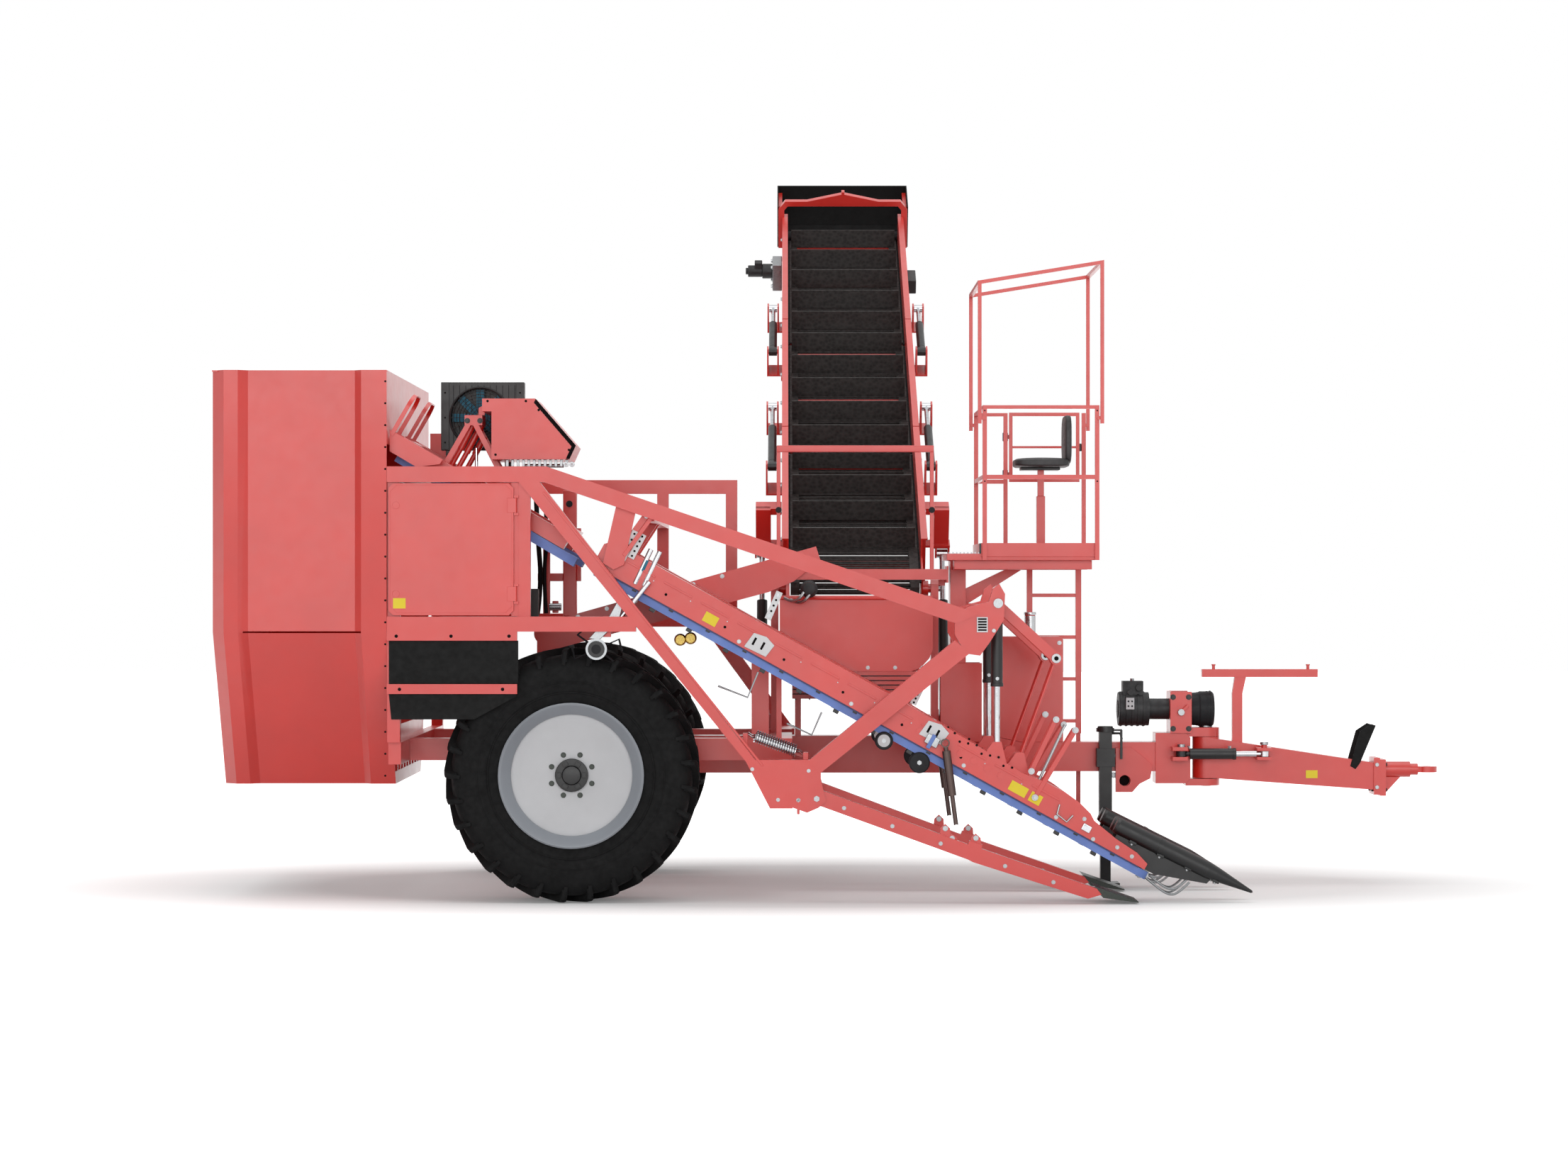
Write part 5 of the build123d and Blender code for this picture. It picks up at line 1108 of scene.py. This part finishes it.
# Platform
class BuildPlatformFittings(bpy.types.Operator):
    """Grating, kick plate end and tank filler, and the hinges and latch of the gate"""

    bl_idname = "harvester.platform_fittings"
    bl_label = "Platform fittings"

    def execute(self, context):
        shape = Shape()
        for k in range(40):
            x = 2400 + 24 * k
            shape.box((x, x + 10), (-350, -344), (2189, 2199), "grating", 0)
        shape.box((2600, 2614), (-356, -340), (2189, 2256), "black", 2)
        shape.rod((2970, 250, 1643), (2970, 250, 1780), 37.5, "stainless", edge=2)
        shape.rod((2970, 250, 1784), (2970, 250, 1804), 41, "stainless", edge=4)
        shape.box((2700, 2772), (158, 161), (1560, 1606), "yellow", 0.5)
        shape.bolts([(x, 160, z) for x in (2684, 3160) for z in (980, 1600)], 10)
        shape.marks([(x, -385, z) for x in (2634, 3366) for z in (2660, 3120)], 5)
        for k in range(24):
            shape.box((2396 + 40 * k, 2402 + 40 * k), (-346, 696), (2186, 2190.5), "grating", 0)
        for k in range(12):
            shape.box((2394, 3356), (-346 + 90 * k, -342 + 90 * k), (2186, 2190), "grating", 0)
        shape.done("PlatformFittings", "chassis", "red_paint")

        shape = Shape()
        for z in (2739, 2994):
            shape.box((2816, 2852), (724, 756), (z - 30, z + 30), "hinge", 5)
            shape.rod((2834, 740, z - 40), (2834, 740, z + 40), 8, "zinc")
        shape.box((3322, 3352), (716, 734), (2896, 2948), "black", 4)
        shape.done("GateFittings", "platform_gate", "red_paint")
        return {"FINISHED"}


class BuildSeat(bpy.types.Operator):
    """The upholstered cushion and back of the operator's seat, and its bracket"""

    bl_idname = "harvester.seat"
    bl_label = "Seat"

    def execute(self, context):
        shape = Shape()
        # cushion and back: reach in x, y and z, the crown's height, and the axes it swells over
        for reach, crown, over in (
                (((2856, 3220), (-35, 385), (2765, 2825)), (0, 0, 14 * 0.55), (0, 1)),
                (((3186, 3232), (-15, 365), (2790, 3110)), (-12 * 0.5, 0, 0), (1, 2))):
            part = bmesh.new()
            bmesh.ops.create_cube(part, size=1)
            bmesh.ops.subdivide_edges(part, edges=part.edges, cuts=9, use_grid_fill=True)
            for vert in part.verts:
                spot = [2 * v for v in vert.co]
                for axis, (low, high) in enumerate(reach):
                    others = [spot[i] for i in range(3) if i != axis]
                    round_off = 1 - 0.09 * (abs(others[0]) ** 6 + abs(others[1]) ** 6)
                    vert.co[axis] = spot[axis] / 2 * (high - low) * round_off + (low + high) / 2
                vert.co += Vector(crown) * (1 - spot[over[0]] ** 2) * (1 - spot[over[1]] ** 2)
            shape.join(part, "vinyl")
        pads = shape.done("PaddedChair", "chassis", "seat_cover", ("seat",), 60)

        shape = Shape()
        shape.box((3190, 3230), (140, 210), (2790, 2900), "black", 6)
        shape.box((2900, 3160), (90, 260), (2748, 2768), "black", 4)
        shape.done("ChairBracket", "chassis", "black_paint")
        return {"FINISHED"}


# Drawbar, pump and jack
DRIVE_LINE = (0, 250, 1158)


class BuildPump(bpy.types.Operator):
    """Ports, block and bracket bolts of the pump, and ribs of the drive's guard"""

    bl_idname = "harvester.pump"
    bl_label = "Pump and guard"

    def execute(self, context):
        shape = Shape()
        for k in range(5):
            x = 3566 + 38 * k
            shape.turned(collar(x, 14, 104, 117), DRIVE_LINE, FORWARDS, "casting", 36)
        shape.box((3600, 3655), (120, 128), (1158, 1236), "white", 3)
        shape.marks([(3616 + 24 * k, 119.5, 1180 + 32 * j) for k in (0, 1) for j in (0, 1)], 6)
        shape.pin((3630, 1270), (140, 96), 20, "casting", edge=3)
        shape.pin((3690, 1300), (190, 170), 22, "casting", edge=3)
        shape.rod((3650, 230, 1344), (3650, 230, 1362), 16, "zinc", sides=6)
        for x in (3912, 4016):
            for z in (1030, 1240):
                shape.bolts([(x, 118, z)], 13, "black")
        shape.pin((3964, 1140), (118, 84), 22, "zinc", edge=2)
        strip(shape, (3964, 1140), (4010, 1186), 18, 92, 8, "red")
        for k in range(7):
            x = 4040 + 21 * k
            radius = 100 + k * 2.4
            shape.turned(collar(x, 9, radius, radius + 8), DRIVE_LINE, FORWARDS, "plastic", 36)
        shape.rod((3550, 250, 1158), (3562, 250, 1158), 60, "casting", edge=4)
        shape.done("PumpFittings", "chassis", "black_paint")
        return {"FINISHED"}


class BuildDrawbarFittings(bpy.types.Operator):
    """Plates, bolts and pins of the drawbar, steering cylinder and head, and the jack's crank"""

    bl_idname = "harvester.drawbar_fittings"
    bl_label = "Drawbar fittings"

    def execute(self, context):
        shape = Shape()
        shape.box((4800, 4878), (157, 160.5), (700, 752), "yellow", 0.5)
        for x in (4196, 4826):
            shape.rod((x, 250, 1448), (x, 250, 1456), 14, "red", edge=1)
        shape.rod((4510, 60, 926), (4510, 60, 944), 28, "zinc", edge=3)
        shape.rod((4496, 50, 936), (4524, 70, 936), 4, "zinc")
        shape.bolts([(5271, 150, z) for z in (640, 790)], 14)
        for y in (190, 310):
            for z in (620, 790):
                shape.rod((5240, y, z), (5345, y, z), 12, "black", sides=6)
        shape.done("DrawbarFittings", "drawbar_pole", "red_paint")

        shape = Shape()
        shape.rod((4300, 60, 866), (4322, 60, 866), 39, "black", edge=3)
        for x in (4010, 4280):
            shape.rod((x, 60, 900), (x, 60, 918), 12, "zinc", sides=6)
        shape.done("SteeringFittings", "steering_cylinder", "black_paint")

        shape = Shape()
        shape.pin((3591, 685), (159, 154), 46, "red", edge=2)
        # dark disc on the pivot pin: painted shade in its bore
        shape.marks([(3591, 153.5, 685)], 35, sides=28)
        shape.bolts([(x, 158, z) for x in (3520, 3660) for z in (720, 850)], 14)
        shape.rod((3960, 60, 906), (3960, 60, 930), 26, "zinc", edge=3)
        shape.rod((4144, 250, 1036), (4144, 250, 1048), 44, "zinc", edge=3)
        # crank of the jack
        shape.rod((3460, 105, 1020), (3460, 105, 1048), 52, "black", edge=6)
        shape.wire([(3500, 105, 1000), (3560, 105, 1000), (3570, 105, 960)], 9, "black", 2)
        shape.done("HeadFittings", "chassis", "red_paint")
        return {"FINISHED"}


class BuildShareFittings(bpy.types.Operator):
    """Pins and bolts of the share arms, links and lift cylinders"""

    bl_idname = "harvester.share_fittings"
    bl_label = "Share arm and link pins"

    def execute(self, context):
        shape = Shape()
        for k in (0, 1):
            y = -1452 + ROW_PITCH * k
            for x, z in ((2330, 470), (2372, 408), (2520, 410)):
                shape.pin((x, z), (y - 14, y + 14), 17, "zinc", edge=1)
            for x, z in ((1700, 592), (2000, 480), (2300, 372), (2700, 232), (3000, 132)):
                shape.bolts([(x, y - 37, z + 6)], 9)
        shape.done("ShareFittings", "share_arm", "red_paint")

        shape = Shape()
        for mid in ROWS:
            shape.pin(LINK_PIN, (mid - 78, mid - 66), 30, "zinc", edge=2)
            # dark disc at the pin's end: painted shade in its bore
            shape.pin(LINK_PIN, (mid - 80, mid - 76), 14, "hole")
            shape.pin(LIFT_PIN, (mid - 80, mid - 92), 30, "red", edge=2)
            shape.bolts([(LIFT_PIN[0], mid - 92, LIFT_PIN[1])], 15, washer=False)
        shape.done("LinkPins", "link_arm", "red_paint")

        shape = Shape()
        for mid in ROWS:
            y = mid - 125
            shape.rod((LIFT_PIN[0], y, 1350), (LIFT_PIN[0], y, 1372), 40, "black", edge=3)
            for z in (1780, 1400):
                shape.pin((LIFT_PIN[0], z), (y - 36, y - 52), 12, "zinc", sides=6)
        shape.done("LiftBarrelFittings", "lift_barrel", "black_paint")
        return {"FINISHED"}


# Studio
def plain_view(tree):
    """Is 1 for what the camera sees, also in metal and through glass, and 0 for the light."""
    paths = tree.nodes.new("ShaderNodeLightPath")
    seen = paths.outputs["Is Camera Ray"]
    for name in ("Is Glossy Ray", "Is Transmission Ray"):
        either = tree.nodes.new("ShaderNodeMath")
        either.operation = "MAXIMUM"
        tree.links.new(seen, either.inputs[0])
        tree.links.new(paths.outputs[name], either.inputs[1])
        seen = either.outputs[0]
    return seen


def pale_floor():
    """A matt floor that glows towards its edges, so that it runs out into the background."""
    ground = Nodes("studio floor", (0.8, 0.8, 0.8), 0.9)
    ground.colour(ground.noise(0.4, 2), (0.797, 0.797, 0.797), (0.803, 0.803, 0.803))
    ground.gloss(ground.noise(3, 2), 0.86, 0.94)
    ground.relief(ground.noise(40, 2), 0.02, 0.001)
    reach = ground.add("ShaderNodeVectorMath", operation="LENGTH")
    oval = ground.add("ShaderNodeMapping")
    oval.inputs["Location"].default_value = (0, 0.95, 0)
    oval.inputs["Scale"].default_value = (1 / 4.6, 1 / 2.2, 0)
    ground.link(ground.place, oval.inputs["Vector"])
    ground.link(oval.outputs["Vector"], reach.inputs[0])
    glow = ground.add("ShaderNodeMath", operation="MULTIPLY")
    ground.link(ground.ramp(reach.outputs["Value"], 0.12, 1.0, 0.75, 1.7), glow.inputs[0])
    ground.link(plain_view(ground.tree), glow.inputs[1])
    ground.link(glow.outputs[0], ground.shader.inputs["Emission Strength"])
    ground.shader.inputs["Emission Color"].default_value = (1, 1, 1, 1)

    part = bmesh.new()
    bmesh.ops.create_grid(part, x_segments=1, y_segments=1, size=60)
    mesh = bpy.data.meshes.new("Floor")
    part.to_mesh(mesh)
    part.free()
    mesh.materials.append(ground.material)
    return bpy.data.objects.new("Floor", mesh)


def white_world():
    """White to the camera, and a softer fill for everything that it lights."""
    world = bpy.data.worlds.new("Studio")
    world.use_nodes = True
    tree = world.node_tree
    background = tree.nodes["Background"]
    background.inputs["Color"].default_value = (1, 1, 1, 1)
    level = tree.nodes.new("ShaderNodeMapRange")
    level.inputs["To Min"].default_value = 0.46
    level.inputs["To Max"].default_value = 1.0
    tree.links.new(plain_view(tree), level.inputs["Value"])
    tree.links.new(level.outputs["Result"], background.inputs["Strength"])
    return world


def softbox(name, power, size, place, aim):
    """A rectangular light at a place in metres, turned towards its aim."""
    lamp = bpy.data.lights.new(name, "AREA")
    lamp.shape, lamp.energy = "RECTANGLE", power
    lamp.size, lamp.size_y = size
    holder = bpy.data.objects.new(name, lamp)
    start, end = (GROUND @ (Vector(point) / MM) for point in (place, aim))
    holder.matrix_world = (Matrix.Translation(start)
                           @ (end - start).to_track_quat("-Z", "Y").to_matrix().to_4x4())
    return holder


def side_camera():
    camera = bpy.data.cameras.new("Camera")
    camera.lens, camera.sensor_width, camera.clip_end = 85, 36, 200
    eye = bpy.data.objects.new("Camera", camera)
    eye.matrix_world = (Matrix.Translation(GROUND @ Vector((1327, -24480, 1965)))
                        @ Matrix.Rotation(radians(90), 4, "X"))
    return eye


class SetStage(bpy.types.Operator):
    """Lays the pale floor and sets the lights and the camera"""

    bl_idname = "harvester.set_stage"
    bl_label = "Floor, lights and camera"

    def execute(self, context):
        scene = context.scene
        stage = (pale_floor(),
                 softbox("FrontSoftbox", settings().key_light, (36, 12), (1.3, -32, 8),
                         (1.3, 0, 1.5)),
                 softbox("TopSoftbox", 700, (14, 10), (1.3, -1, 13), (1.3, 0, 0)),
                 side_camera())
        for holder in stage:
            scene.collection.objects.link(holder)
        scene.camera = stage[-1]
        scene.world = white_world()
        scene.view_settings.view_transform = "Standard"
        return {"FINISHED"}


OPERATORS = (DressSteelwork, BuildTyres, BuildRims, BuildChannelFittings,
             BuildChannelRunningGear, BuildHangers, BuildCropLifters, BuildDoorFittings,
             BuildSideFittings, BuildTopper, BuildCooler, BuildElevatorFittings,
             BuildConveyorFittings, BuildPlatformFittings, BuildSeat, BuildPump,
             BuildDrawbarFittings, BuildShareFittings, SetStage)


class HarvesterPanel(bpy.types.Panel):
    """Lists the settings and the pieces in the sidebar"""

    bl_idname = "VIEW3D_PT_harvester"
    bl_label = "Carrot Harvester"
    bl_space_type = "VIEW_3D"
    bl_region_type = "UI"
    bl_category = "Harvester"

    def draw(self, context):
        for name in HarvesterSettings.__annotations__:
            self.layout.prop(context.scene.harvester, name)
        for operator in OPERATORS:
            self.layout.operator(operator.bl_idname)


CLASSES = (HarvesterSettings, *OPERATORS, HarvesterPanel)


def register():
    for kind in CLASSES:
        bpy.utils.register_class(kind)
    bpy.types.Scene.harvester = PointerProperty(type=HarvesterSettings)


def unregister():
    del bpy.types.Scene.harvester
    for kind in reversed(CLASSES):
        bpy.utils.unregister_class(kind)


def main():
    register()
    for operator in OPERATORS:
        group, name = operator.bl_idname.split(".")
        if getattr(getattr(bpy.ops, group), name)() != {"FINISHED"}:
            raise RuntimeError(f"{operator.bl_label} did not finish")


if __name__ == "__main__":
    main()
